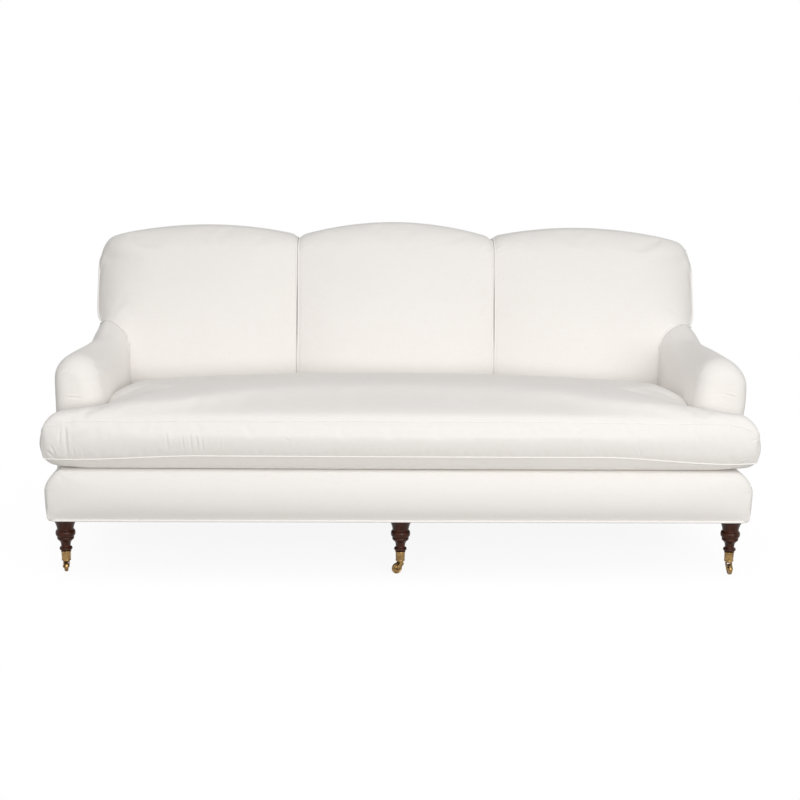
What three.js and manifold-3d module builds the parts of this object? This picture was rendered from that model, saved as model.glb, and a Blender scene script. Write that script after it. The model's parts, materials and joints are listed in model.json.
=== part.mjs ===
// English roll arm sofa on six turned legs with brass casters.
// Millimetres, +Z up, +X to the right as seen from the front, the front faces -Y.
// Left and right in names are as seen from the front.
// Pieces are built with Y counted backwards from the front of the upholstered base.
// The last step moves the whole sofa so that the origin is the middle of its footprint, on the floor.

import * as THREE from 'three';
import { mergeVertices } from 'three/addons/utils/BufferGeometryUtils.js';
import Module from 'manifold-3d';

const wasm = await Module();
wasm.setup();

// Clearances and overruns
const clearance = 0.3;
const cushionClearance = 4;
const overrun = 40;

// Base
const underside = 163;
const deckHeight = 300;
const deckThickness = 28;
const baseWidth = 1930;
const baseFootInset = 6.5;
const baseShoulderDrop = 55;
const baseShoulderWidth = 44;
const borderNoseRadius = 18;
const borderPadding = 20;
const sidePadding = 18;

// Frame timber
const railRecess = 7;
const railDeckGap = 10;
const railThickness = 60;
const crossRailWidth = 44;
const crossRailHeight = 48;
const armFrameWidth = 56;
const armPostSetback = 25;
const armPostThickness = 35;
const armRailHeight = 25;
const armPadding = 37;
const backTimberThickness = 45;
const backPostDrop = 120;
const backTopRailHeight = 35;
const backTopRailInset = 10;
const backLowerRailRise = 30;
const backLowerRailHeight = 40;
const backUprightWidth = 40;

// Arms
const armFront = 162.5;
const armWidth = 138.5;
const armLean = 10;
const armLeanHeight = 90;
const armLeanDrop = 47;
const armTopFront = 587;
const armRise = 36;
const armRiseLength = 190;
const armRiseSetback = 81;
const armNoseRadius = 42;
const armNoseFadeHeight = 60;

// Back
const backHeight = 920;
const backRakeDegrees = 8.5;
const rearRailRear = 771;
const padRakeDegrees = 12;
const backThickness = 126;
const backThicknessRise = 160;
const padCrown = 34;
const padTopRadius = 62;
const padRearRadius = 22;
const lobeHalfWidth = 310;
const lobeGap = 2;
const centreLobeArch = 45.5;
const sideLobeDrop = 12.5;
const sideLobeArch = 29.5;
const seamDip = 17;
const seamDipWidth = 26;
const seamSetback = 24;
const backSideInset = 19;
const backCornerWidth = 56;
const backCornerDrop = 89;
const backHipRise = 84;
const backHipWidth = 25;
const backEdgeSetback = 50;
const backPanelThickness = 6;
const backPanelInset = 9;

// Seat cushion
const cushionOverhang = 22;
const cushionRearGap = 9;
const cushionEarOverhang = 11;
const cushionEarDepth = 150;
const cushionEarStep = 6;
const cushionCornerRadius = 40;
const cushionEarRadius = 18;
const cushionRearRadius = 26;
const cushionFrontBow = 9;
const cushionCrown = 57;
const cushionBoxingHeight = 100;
const cushionEndDroop = 13;
const cushionRearDroop = 10;
const cushionArmTuck = 16;
const cushionFootRise = 44;
const cushionRollWidth = 38;
const cushionBoxingBulge = 9;

// Suspension
const webbingThickness = 3;
const strapWidth = 60;
const springRadius = 38;
const springWireRadius = 2.2;
const springEndInset = 201.5;
const springTieHeight = 6;
const dustCoverThickness = 1.5;
const backStrapWidth = 50;
const backWebbingInset = 8;

// Legs
const legSideInset = 45;
const frontLegSetback = 55;
const legSpigotRadius = 11;
const legSpigotHeight = 38;
const legCollarRadius = 24;
const legTopRadius = 33;
const legTopBand = 9;
const legNeckRadius = 23;
const legBulgeRadius = 27;
const legBeadRadius = 22.5;
const legAnkleRadius = 13;
const legRingRadius = 17.6;

// Casters
const wheelAcrossFlats = 31;
const wheelWidth = 11;
const wheelSideGap = 0.5;
const casterTrail = 11;
const axleRadius = 2.4;
const axleGap = 0.1;
const axleHeadRadius = 3.6;
const axleHeadHeight = 1.4;
const cheekThickness = 2.2;
const cheekTopRadius = 7;
const cheekBossRadius = 5;
const crownRadius = 9;
const crownThickness = 3.2;
const crownGap = 1;
const stemRadius = 3;
const cupRadiusTop = 14.2;
const cupRadiusFoot = 13;
const cupWall = 1.6;
const cupFloor = 4;
const cupHeight = 28;

// Directions in which the caster wheels trail at rest, anticlockwise from +X
const trailDegrees = {
  front_left: 108,
  front_centre: 212,
  front_right: 272,
  rear_left: 75,
  rear_centre: 120,
  rear_right: 60,
};

// Counts that set how finely round forms are cut
const wheelSides = 24;
const legSides = 16;
const cupSides = 16;
const collarSides = 16;
const pinSides = 8;
const noseSteps = 4;
const roundTopSteps = 10;
const armBodySteps = 7;
const padSideSteps = 10;
const padHeightSteps = 8;
const padTopSteps = 4;
const padRearSteps = 2;
const cushionColumns = 22;
const cushionBodyRows = 6;
const cornerSteps = 3;
const springTurns = 3;
const springStepsPerTurn = 7;
const springSides = 4;
const springsPerRow = 6;
const panelTopSteps = 36;
const seatStrapsAcross = 8;
const seatStrapsAlong = 3;
const backStrapsAcross = 9;
const backStrapsAlong = 2;

// Shapes of the soft forms, as exponents and shares
const cushionCrownPowerAcross = 2.8;
const cushionCrownPowerAlong = 3;
const padCrownPower = 2.6;
const padFootCrownShare = 0.45;
const padHeadCrownShare = 0.35;

// Places of the spring rows between the front and rear rails
const springRowShares = { front: 0.26, rear: 0.66 };

// Levels of the leg's turnings between the caster cup and the base
const legLevelShares = {
  foot: 0.02,
  ring: 0.08,
  ankleFoot: 0.165,
  ankle: 0.2,
  bead: 0.36,
  bulge: 0.52,
  neck: 0.65,
};

// Materials
const linen = { color: 0xf1ede4, roughness: 0.9, metalness: 0 };
const beech = { color: 0xb98d5c, roughness: 0.6, metalness: 0 };
const walnut = { color: 0x2c1610, roughness: 0.25, metalness: 0 };
const brass = { color: 0xa8854a, roughness: 0.35, metalness: 1 };
const steel = { color: 0x8d9196, roughness: 0.4, metalness: 1 };
const jute = { color: 0xa58a5f, roughness: 0.95, metalness: 0 };
const cambric = { color: 0x1d1d1f, roughness: 0.95, metalness: 0 };

// Planes and levels that several pieces share
const degrees = Math.PI / 180;
const rakeSlope = Math.tan(backRakeDegrees * degrees);
const padSlope = Math.tan(padRakeDegrees * degrees);
const baseHalfWidth = baseWidth / 2;
const baseWidestHeight = deckHeight - baseShoulderDrop;
const deckBottom = deckHeight - deckThickness;
const railUnderside = underside + railRecess;
const railTop = deckBottom - railDeckGap;
const railHalfLength = baseHalfWidth - sidePadding;
const railEnd = railHalfLength + clearance;
const frontRailFront = borderPadding + clearance;
const frontRailRear = frontRailFront + railThickness;
const armOuterFace = baseHalfWidth + clearance;
const armInnerFace = baseHalfWidth - armWidth;
const armTopRadius = (armOuterFace - armInnerFace - armLean) / 2;
const armTopRear = armTopFront + armRise;
const armLeanEnd = armTopFront - armLeanDrop;
const armLeanStart = armLeanEnd - armLeanHeight;
const armRiseEnd = rearRailRear - armRiseSetback;
const armRiseStart = armRiseEnd - armRiseLength;
const armRailTop = armTopFront - armPadding;
const armFrameMiddle = (armInnerFace + armOuterFace) / 2;
const postInner = armFrameMiddle - armFrameWidth / 2;
const postOuter = armFrameMiddle + armFrameWidth / 2;
const backPostTop = backHeight - backPostDrop;
const backTopRailTop = backPostTop + clearance + backTopRailHeight;
const backLowerRailBottom = deckHeight + backLowerRailRise;
const backWebbingHalfWidth = postInner - backWebbingInset;
const backHalfWidth = baseHalfWidth - backSideInset;
const sideLobeMiddle = (lobeHalfWidth + postInner) / 2;
const padFront = rearRailRear - backThickness;
const padFrontHeight = deckHeight + backThicknessRise;
const cushionRear = padFront - padCrown - cushionRearGap;
const cushionHalfWidth = baseHalfWidth + cushionEarOverhang;
const cushionBottomWelt = deckHeight + cushionFootRise;
const cushionTopWelt = cushionBottomWelt + cushionBoxingHeight;
const legSpread = baseHalfWidth - legSideInset;
const cupTop = wheelAcrossFlats + crownGap + crownThickness + clearance + cupHeight;
const rearPlane = (z) => rearRailRear + rakeSlope * (z - railUnderside);
const framePlane = (z) => rearPlane(z) - backTimberThickness;
const webbingPlane = (z) => framePlane(z) - clearance - webbingThickness;
const padPlane = (z) => padFront + padSlope * (z - padFrontHeight);
const rearRailFront = (z) => rearPlane(z) - railThickness;
const rearLegSetback = rearPlane(railUnderside) - railThickness / 2;

const sofa = new THREE.Group();

// Adds one named piece to a group
function piece(name, geometry, look, parent = sofa) {
  const mesh = new THREE.Mesh(geometry, new THREE.MeshStandardMaterial(look));
  mesh.name = name;
  parent.add(mesh);
  return mesh;
}

// A share that eases from 0 to 1 between two values
function ease(value, from, to) {
  return THREE.MathUtils.smoothstep(value, from, to);
}

// Turns faces outward where the enclosed volume comes out negative
function facingOut(geometry) {
  const points = geometry.attributes.position;
  const order = geometry.index;
  const corners = [new THREE.Vector3(), new THREE.Vector3(), new THREE.Vector3()];
  let volume = 0;
  for (let at = 0; at < order.count; at += 3) {
    corners.forEach((corner, side) => corner.fromBufferAttribute(points, order.getX(at + side)));
    volume += corners[0].dot(corners[1].clone().cross(corners[2]));
  }
  if (volume < 0) {
    for (let at = 0; at < order.count; at += 3) {
      const first = order.getX(at);
      order.setX(at, order.getX(at + 2));
      order.setX(at + 2, first);
    }
  }
  return geometry;
}

// One closed surface from points and triangles
function surface(points, triangles) {
  const geometry = new THREE.BufferGeometry().setFromPoints(points);
  geometry.setIndex(triangles);
  return facingOut(geometry);
}

// A solid through closed rings with the same number of points, capped at both ends
function loft(rings) {
  const count = rings[0].length;
  const points = rings.flat();
  const triangles = [];
  for (let ring = 0; ring + 1 < rings.length; ring += 1) {
    for (let at = 0; at < count; at += 1) {
      const a = ring * count + at;
      const b = ring * count + (at + 1) % count;
      triangles.push(a, b, a + count, b, b + count, a + count);
    }
  }
  const closeEnd = (ring, flipped) => {
    const middle = points.length;
    points.push(rings[ring].reduce((sum, p) => sum.add(p), new THREE.Vector3()).divideScalar(count));
    for (let at = 0; at < count; at += 1) {
      const a = ring * count + at;
      const b = ring * count + (at + 1) % count;
      triangles.push(...(flipped ? [b, a, middle] : [a, b, middle]));
    }
  };
  closeEnd(0, true);
  closeEnd(rings.length - 1, false);
  return surface(points, triangles);
}

// Geometry to solid and back, for cutting and joining
function toSolid(geometry) {
  const bare = new THREE.BufferGeometry();
  bare.setAttribute('position', geometry.attributes.position.clone());
  if (geometry.index) {
    bare.setIndex(geometry.index.clone());
  }
  const merged = mergeVertices(bare);
  const vertProperties = new Float32Array(merged.attributes.position.array);
  const triVerts = new Uint32Array(merged.index.array);
  return new wasm.Manifold(new wasm.Mesh({ numProp: 3, vertProperties, triVerts }));
}

function toGeometry(solid) {
  const { vertProperties, triVerts } = solid.getMesh();
  const geometry = new THREE.BufferGeometry();
  geometry.setAttribute('position', new THREE.BufferAttribute(vertProperties, 3));
  geometry.setIndex(new THREE.BufferAttribute(triVerts, 1));
  return geometry;
}

function cut(geometry, ...tools) {
  return toGeometry(tools.reduce((left, tool) => left.subtract(toSolid(tool)), toSolid(geometry)));
}

function join(...parts) {
  return toGeometry(parts.map(toSolid).reduce((sum, part) => sum.add(part)));
}

// A box between two corners
function block(low, high) {
  const size = high.map((value, axis) => value - low[axis]);
  const middle = high.map((value, axis) => (value + low[axis]) / 2);
  return new THREE.BoxGeometry(...size).translate(...middle);
}

// An upright cylinder between two levels
function post(x, y, radius, low, high, sides = legSides) {
  const geometry = new THREE.CylinderGeometry(radius, radius, high - low, sides);
  return geometry.rotateX(Math.PI / 2).translate(x, y, (low + high) / 2);
}

// A block whose front and rear faces lean back with the rake
function rakedBlock(xLow, xHigh, zLow, zHigh, front, rear) {
  const side = new THREE.Shape([
    new THREE.Vector2(front(zLow), zLow),
    new THREE.Vector2(rear(zLow), zLow),
    new THREE.Vector2(rear(zHigh), zHigh),
    new THREE.Vector2(front(zHigh), zHigh),
  ]);
  const geometry = new THREE.ExtrudeGeometry(side, { depth: xHigh - xLow, bevelEnabled: false });
  const axes = new THREE.Matrix4().makeBasis(
    new THREE.Vector3(0, 1, 0),
    new THREE.Vector3(0, 0, 1),
    new THREE.Vector3(1, 0, 0),
  );
  return geometry.applyMatrix4(axes).translate(xLow, 0, 0);
}

// Moves each point of an upright sheet back by the plane that it leans on
function leaning(geometry, plane) {
  const points = geometry.attributes.position;
  for (let at = 0; at < points.count; at += 1) {
    points.setY(at, points.getY(at) + plane(points.getZ(at)));
  }
  return geometry;
}

// The side to side mirror of a right-hand piece
function mirrored(geometry) {
  return facingOut(mergeVertices(geometry.clone().scale(-1, 1, 1)));
}

// Adds a piece made for the right-hand side and its mirror on the left
function pair(name, geometry, look) {
  piece(`${name}_right`, geometry, look);
  piece(`${name}_left`, mirrored(geometry), look);
}

// The six leg places, as name and position
function legPlaces() {
  const rows = { front: frontLegSetback, rear: rearLegSetback };
  const columns = { left: -legSpread, centre: 0, right: legSpread };
  return Object.entries(rows).flatMap(([row, y]) => (
    Object.entries(columns).map(([column, x]) => ({ name: `${row}_${column}`, x, y }))
  ));
}

// Bores in a rail for the spigots of one row of legs
function spigotBores(row) {
  const top = railUnderside + legSpigotHeight + clearance;
  return legPlaces()
    .filter((place) => place.name.startsWith(row))
    .map(({ x, y }) => post(x, y, legSpigotRadius + clearance, railUnderside - overrun, top));
}

// Base rails: front and rear rails carry the legs, side rails and a cross rail tie them
function baseRails() {
  const front = block(
    [-railHalfLength, frontRailFront, railUnderside],
    [railHalfLength, frontRailRear, railTop],
  );
  piece('front_rail', cut(front, ...spigotBores('front')), beech);
  const rear = rakedBlock(-railHalfLength, railHalfLength, railUnderside, railTop, rearRailFront, rearPlane);
  piece('rear_rail', cut(rear, ...spigotBores('rear')), beech);
  const betweenFront = () => frontRailRear + clearance;
  const betweenRear = (z) => rearRailFront(z) - clearance;
  const sideInner = railHalfLength - railThickness;
  pair(
    'side_rail',
    rakedBlock(sideInner, railHalfLength, railUnderside, railTop, betweenFront, betweenRear),
    beech,
  );
  const crossTop = railUnderside + crossRailHeight;
  const crossHalf = crossRailWidth / 2;
  piece(
    'centre_cross_rail',
    rakedBlock(-crossHalf, crossHalf, railUnderside, crossTop, betweenFront, betweenRear),
    beech,
  );
}

// Arm frame: a post at the front and a rail along the top that runs back to the back post
function armFrame() {
  const front = armFront + armPostSetback;
  const postTop = armRailTop - armRailHeight - clearance;
  pair(
    'arm_post',
    block([postInner, front, railTop + clearance], [postOuter, front + armPostThickness, postTop]),
    beech,
  );
  pair(
    'arm_top_rail',
    rakedBlock(
      postInner,
      postOuter,
      armRailTop - armRailHeight,
      armRailTop,
      () => front,
      (z) => framePlane(z) - clearance,
    ),
    beech,
  );
}

// Back frame: outer posts, a lower rail, two uprights at the seams between lobes, and a top rail
function backFrame() {
  pair(
    'back_post',
    rakedBlock(postInner, postOuter, railTop + clearance, backPostTop, framePlane, rearPlane),
    beech,
  );
  const lowerTop = backLowerRailBottom + backLowerRailHeight;
  const lowerHalf = postInner - clearance;
  piece(
    'back_lower_rail',
    rakedBlock(-lowerHalf, lowerHalf, backLowerRailBottom, lowerTop, framePlane, rearPlane),
    beech,
  );
  const uprightInner = lobeHalfWidth - backUprightWidth / 2;
  pair(
    'back_upright',
    rakedBlock(
      uprightInner,
      uprightInner + backUprightWidth,
      lowerTop + clearance,
      backPostTop,
      framePlane,
      rearPlane,
    ),
    beech,
  );
  const topHalf = postOuter - backTopRailInset;
  piece(
    'back_top_rail',
    rakedBlock(-topHalf, topHalf, backPostTop + clearance, backTopRailTop, framePlane, rearPlane),
    beech,
  );
}

// Crossing straps in X and Z, as one net with its windows open
function strapNet(xLow, xHigh, zLow, zHigh, across, along, width, thickness) {
  const straps = [];
  for (let column = 0; column <= across; column += 1) {
    const x = THREE.MathUtils.lerp(xLow, xHigh - width, column / across);
    straps.push(block([x, 0, zLow], [x + width, thickness, zHigh]));
  }
  for (let row = 0; row <= along; row += 1) {
    const z = THREE.MathUtils.lerp(zLow, zHigh - width, row / along);
    straps.push(block([xLow, 0, z], [xHigh, thickness, z + width]));
  }
  return join(...straps);
}

// Seat webbing tacked under the rails, with the leg collars passing through it
function seatWebbing() {
  const half = railHalfLength - clearance;
  const front = frontRailFront;
  const rear = rearPlane(railUnderside) - strapWidth / 2;
  const across = seatStrapsAcross;
  const net = strapNet(-half, half, front, rear, across, seatStrapsAlong, strapWidth, webbingThickness);
  net.rotateX(-Math.PI / 2).translate(0, 0, railUnderside - clearance);
  piece('seat_webbing', cut(net, ...collarHoles()), jute);
}

// Holes where the leg collars pass through the webbing and the dust cover
function collarHoles() {
  const radius = legCollarRadius + clearance;
  const low = underside - overrun;
  return legPlaces().map(({ x, y }) => post(x, y, radius, low, railUnderside + overrun, collarSides));
}

// Dust cover that closes the underside
function dustCover() {
  const top = railUnderside - clearance - webbingThickness - clearance;
  const sheet = rakedBlock(
    -railHalfLength,
    railHalfLength,
    top - dustCoverThickness,
    top,
    () => frontRailFront,
    (z) => rearPlane(z) - clearance,
  );
  piece('dust_cover', cut(sheet, ...collarHoles()), cambric);
}

// One coil spring standing on the webbing, as an unbroken wire
function coil(x, y, low, high) {
  const steps = springTurns * springStepsPerTurn;
  const wireLow = low + springWireRadius;
  const wireHigh = high - springWireRadius;
  const rings = [];
  for (let step = 0; step <= steps; step += 1) {
    const angle = (step / springStepsPerTurn) * 2 * Math.PI;
    const level = THREE.MathUtils.lerp(wireLow, wireHigh, step / steps);
    const ring = [];
    for (let side = 0; side < springSides; side += 1) {
      const around = (side / springSides) * 2 * Math.PI;
      const reach = springRadius + springWireRadius * Math.cos(around);
      ring.push(new THREE.Vector3(
        x + reach * Math.cos(angle),
        y + reach * Math.sin(angle),
        level + springWireRadius * Math.sin(around),
      ));
    }
    rings.push(ring);
  }
  return loft(rings);
}

// Rows of coil springs between the webbing and the deck, each lashed to one tie
function seatSprings() {
  const low = railUnderside;
  const high = deckBottom - clearance;
  const reach = armInnerFace - springEndInset;
  Object.entries(springRowShares).forEach(([row, share]) => {
    const y = THREE.MathUtils.lerp(frontRailRear, rearRailFront(railUnderside), share);
    const coils = [];
    for (let at = 0; at < springsPerRow; at += 1) {
      coils.push(coil(THREE.MathUtils.lerp(-reach, reach, at / (springsPerRow - 1)), y, low, high));
    }
    const tie = block(
      [-reach - springRadius, y - springTieHeight / 2, high - springTieHeight],
      [reach + springRadius, y + springTieHeight / 2, high],
    );
    piece(`seat_springs_${row}`, join(tie, ...coils), steel);
  });
}

// Webbing in front of the back frame, behind the lobes
function backWebbing() {
  const net = strapNet(
    -backWebbingHalfWidth,
    backWebbingHalfWidth,
    backLowerRailBottom,
    backTopRailTop,
    backStrapsAcross,
    backStrapsAlong,
    backStrapWidth,
    webbingThickness,
  );
  piece('back_webbing', leaning(net, webbingPlane), jute);
}

// Seat deck between the arms, carried by the springs
function seatDeck() {
  const half = armInnerFace - clearance;
  const rear = framePlane(deckBottom) - clearance;
  piece('seat_deck', block([-half, armFront, deckBottom], [half, rear, deckHeight]), linen);
}

// Half outline of the base front, from the lower edge up and over the shoulder
function borderHalfOutline(inset) {
  const level = deckHeight - inset;
  const half = baseHalfWidth - inset;
  const points = [[baseHalfWidth - baseFootInset, underside]];
  for (let step = 0; step <= noseSteps; step += 1) {
    const angle = (step / noseSteps) * Math.PI / 2;
    points.push([
      half - baseShoulderWidth * (1 - Math.cos(angle)),
      THREE.MathUtils.lerp(baseWidestHeight, level, Math.sin(angle)),
    ]);
  }
  return points;
}

// Padded base front that stands out in front of the arms
function frontBorder() {
  const rings = [];
  const addRing = (y, inset) => {
    const half = borderHalfOutline(inset);
    const left = half.map(([x, z]) => new THREE.Vector3(-x, y, z)).reverse();
    rings.push([...half.map(([x, z]) => new THREE.Vector3(x, y, z)), ...left]);
  };
  for (let step = 0; step <= noseSteps; step += 1) {
    const angle = (step / noseSteps) * Math.PI / 2;
    addRing(borderNoseRadius * (1 - Math.cos(angle)), borderNoseRadius * (1 - Math.sin(angle)));
  }
  addRing(armFront - clearance, 0);
  const pocket = block(
    [-railEnd, borderPadding, underside - overrun],
    [railEnd, armFront + overrun, railTop + clearance],
  );
  piece('front_border', cut(loft(rings), pocket), linen);
}

// Height of the arm's top line, level at first and rising to meet the back
function armTop(y) {
  return armTopFront + armRise * ease(y, armRiseStart, armRiseEnd);
}

// One section of the right arm: inner face, round top and outer face
function armSection(depthAt, inset) {
  const lean = (z) => armLean * ease(z, armLeanStart, armLeanEnd);
  const taper = (z) => inset * ease(z, deckHeight, deckHeight + armNoseFadeHeight);
  const top = armTop(depthAt(armTopFront)) - inset;
  const innerTop = armInnerFace + armLean + inset;
  const outerTop = armOuterFace - inset;
  const radius = (outerTop - innerTop) / 2;
  const levels = [underside, deckHeight, deckHeight + armNoseFadeHeight, armLeanStart];
  const ring = levels.map((z) => [armInnerFace + lean(z) + taper(z), z]);
  for (let step = 0; step <= roundTopSteps; step += 1) {
    const angle = Math.PI * (1 - step / roundTopSteps);
    ring.push([innerTop + radius * (1 + Math.cos(angle)), top - radius * (1 - Math.sin(angle))]);
  }
  ring.push([outerTop, armLeanStart]);
  ring.push([armOuterFace - taper(baseWidestHeight + armNoseFadeHeight), deckHeight]);
  ring.push([armOuterFace, baseWidestHeight]);
  ring.push([armOuterFace - baseFootInset, underside]);
  return ring.map(([x, z]) => new THREE.Vector3(x, depthAt(z), z));
}

// The slab behind the lobes and the arms where the back frame and its webbing stand
function backPocket() {
  return rakedBlock(
    -postOuter - clearance,
    postOuter + clearance,
    underside - overrun,
    backTopRailTop + clearance,
    (z) => webbingPlane(z) - clearance,
    (z) => rearPlane(z) + overrun,
  );
}

// Upholstered arm with a rounded front, hollowed round the side rail and the arm frame
function armUpholstery() {
  const rings = [];
  const noseEnd = armFront + armNoseRadius;
  for (let step = 0; step < noseSteps; step += 1) {
    const angle = (step / noseSteps) * Math.PI / 2;
    const y = armFront + armNoseRadius * (1 - Math.cos(angle));
    rings.push(armSection(() => y, armNoseRadius * (1 - Math.sin(angle))));
  }
  for (let step = 0; step <= armBodySteps; step += 1) {
    const share = step / armBodySteps;
    rings.push(armSection((z) => THREE.MathUtils.lerp(noseEnd, rearPlane(z), share), 0));
  }
  const railPocket = block(
    [armInnerFace - overrun, armFront - overrun, underside - overrun],
    [railEnd, rearPlane(backHeight), railTop + clearance],
  );
  const framePocket = block(
    [postInner - clearance, armFront + armPostSetback - clearance, railTop],
    [postOuter + clearance, rearPlane(backHeight), armRailTop + clearance],
  );
  pair('arm_upholstery', cut(loft(rings), railPocket, framePocket, backPocket()), linen);
}

// Top line of the back: each lobe is an arch that dips at its seams and rounds off at the outer end
function backTop(x) {
  const distance = Math.abs(x);
  const central = distance < lobeHalfWidth;
  const middle = central ? 0 : sideLobeMiddle;
  const arch = central ? centreLobeArch : sideLobeArch;
  const crest = central ? backHeight : backHeight - sideLobeDrop;
  const offset = (distance - middle) / (central ? lobeHalfWidth : sideLobeMiddle - lobeHalfWidth);
  const nearSeam = 1 - Math.min(Math.abs(distance - lobeHalfWidth) / seamDipWidth, 1);
  const dip = seamDip * (1 - Math.sqrt(1 - nearSeam ** 2));
  const nearEnd = Math.max(0, distance - (backHalfWidth - backCornerWidth)) / backCornerWidth;
  const corner = backCornerDrop * (1 - Math.sqrt(1 - Math.min(nearEnd, 1) ** 2));
  return crest - arch * offset ** 2 - dip - corner;
}

// Lower edge of a lobe: the deck between the arms, and the arm's round top outside them
function lobeFoot(x) {
  const distance = Math.abs(x);
  if (distance < armInnerFace) {
    return deckHeight + clearance;
  }
  const middle = armInnerFace + armLean + armTopRadius;
  const reach = Math.min(Math.abs(middle - distance) / armTopRadius, 1);
  const nearEnd = Math.max(0, distance - (backHalfWidth - backHipWidth)) / backHipWidth;
  const hip = backHipRise * (1 - Math.sqrt(1 - Math.min(nearEnd, 1) ** 2));
  return armTopRear + clearance * 2 - armTopRadius * (1 - Math.sqrt(1 - reach ** 2)) + hip;
}

// Front of a lobe at a place, from its seam line forward by its crown
function lobeFront(x, z, low, high, crownAcross) {
  const height = (z - low) / (high - low);
  const swell = Math.sin(Math.PI * THREE.MathUtils.clamp(height, 0, 1));
  const base = THREE.MathUtils.lerp(padFootCrownShare, padHeadCrownShare, height);
  return padPlane(z) + seamSetback - (seamSetback + padCrown) * crownAcross * (base + (1 - base) * swell);
}

// One upright section through a lobe, pinched towards its seams and its outer edge
function lobeSection(x, crownAcross, edgeSetback, foot) {
  const top = backTop(x);
  const rise = top - deckHeight;
  const front = (z) => lobeFront(x, z, deckHeight, top, crownAcross) + edgeSetback;
  const shoulder = top - Math.min(padTopRadius, rise / 2);
  const points = [];
  for (let step = 0; step < padHeightSteps; step += 1) {
    const z = THREE.MathUtils.lerp(foot, shoulder, step / padHeightSteps);
    points.push([front(z), z]);
  }
  const crest = Math.min(padTopRadius, rearPlane(top) - front(shoulder) - padRearRadius);
  for (let step = 0; step <= padTopSteps; step += 1) {
    const angle = (step / padTopSteps) * Math.PI / 2;
    points.push([
      front(shoulder) + crest * (1 - Math.cos(angle)),
      THREE.MathUtils.lerp(shoulder, top, Math.sin(angle)),
    ]);
  }
  for (let step = 0; step <= padRearSteps; step += 1) {
    const angle = (step / padRearSteps) * Math.PI / 2;
    const z = top - padRearRadius * (1 - Math.cos(angle));
    points.push([rearPlane(z) - padRearRadius * (1 - Math.sin(angle)), z]);
  }
  points.push([rearPlane(foot), foot]);
  return points.map(([y, z]) => new THREE.Vector3(x, y, z));
}

// Places across a lobe, closer together towards both of its edges
function lobePlaces(low, high) {
  const places = [];
  for (let step = 0; step <= padSideSteps; step += 1) {
    const share = (1 - Math.cos(Math.PI * step / padSideSteps)) / 2;
    places.push(THREE.MathUtils.lerp(low, high, share));
  }
  return places;
}

// How full a lobe is at a place across it, from 0 at its seams to 1 in the middle
function fullness(x, low, high) {
  const offset = Math.abs(2 * (x - low) / (high - low) - 1);
  return (1 - offset ** padCrownPower) ** (1 / 2);
}

// The three lobes of the tight back
function backPads() {
  const seam = lobeHalfWidth - lobeGap / 2;
  const centre = lobePlaces(-seam, seam).map((x) => (
    lobeSection(x, fullness(x, -seam, seam), 0, lobeFoot(x))
  ));
  piece('back_pad_centre', cut(loft(centre), backPocket()), linen);
  const inner = lobeHalfWidth + lobeGap / 2;
  const between = armInnerFace - clearance * 2;
  const outer = between * 2 - inner;
  const rings = lobePlaces(inner, outer)
    .filter((x) => x < between)
    .concat(between)
    .map((x) => lobeSection(x, fullness(x, inner, outer), 0, lobeFoot(x)));
  overArmPlaces().forEach((x) => {
    const share = Math.max(0, x - armInnerFace) / (backHalfWidth - armInnerFace);
    const setback = backEdgeSetback * share ** padCrownPower;
    rings.push(lobeSection(x, 1, setback, lobeFoot(Math.max(x, armInnerFace))));
  });
  pair('back_pad', cut(loft(rings), backPocket()), linen);
}

// Places across the part of a side lobe that stands over the arm: the arm's own facets, then the hip
function overArmPlaces() {
  const places = [armInnerFace - clearance];
  for (let step = 0; step <= roundTopSteps / 2 + 1; step += 1) {
    const angle = Math.PI * (1 - step / roundTopSteps);
    places.push(armInnerFace + armLean + armTopRadius * (1 + Math.cos(angle)));
  }
  for (let step = 1; step <= noseSteps; step += 1) {
    const angle = (step / noseSteps) * Math.PI / 2;
    places.push(backHalfWidth - backHipWidth * (1 - Math.sin(angle)));
  }
  return places;
}

// Outside back: one panel over the rear of the frame, the arms and the lobes
function outsideBack() {
  const shape = new THREE.Shape();
  const lowHalf = armOuterFace - baseFootInset - clearance;
  const highHalf = backHalfWidth - backPanelInset;
  shape.moveTo(-lowHalf, underside);
  shape.lineTo(lowHalf, underside);
  shape.lineTo(lowHalf, armTopFront - armNoseRadius);
  shape.lineTo(highHalf, armTopRear);
  for (let step = 0; step <= panelTopSteps; step += 1) {
    const x = THREE.MathUtils.lerp(highHalf, -highHalf, step / panelTopSteps);
    shape.lineTo(x, backTop(x) - backPanelInset);
  }
  shape.lineTo(-highHalf, armTopRear);
  shape.lineTo(-lowHalf, armTopFront - armNoseRadius);
  const panel = new THREE.ExtrudeGeometry(shape, { depth: backPanelThickness, bevelEnabled: false });
  panel.rotateX(Math.PI / 2).translate(0, backPanelThickness, 0);
  piece('outside_back_panel', leaning(panel, (z) => rearPlane(z) + clearance), linen);
}

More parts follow.
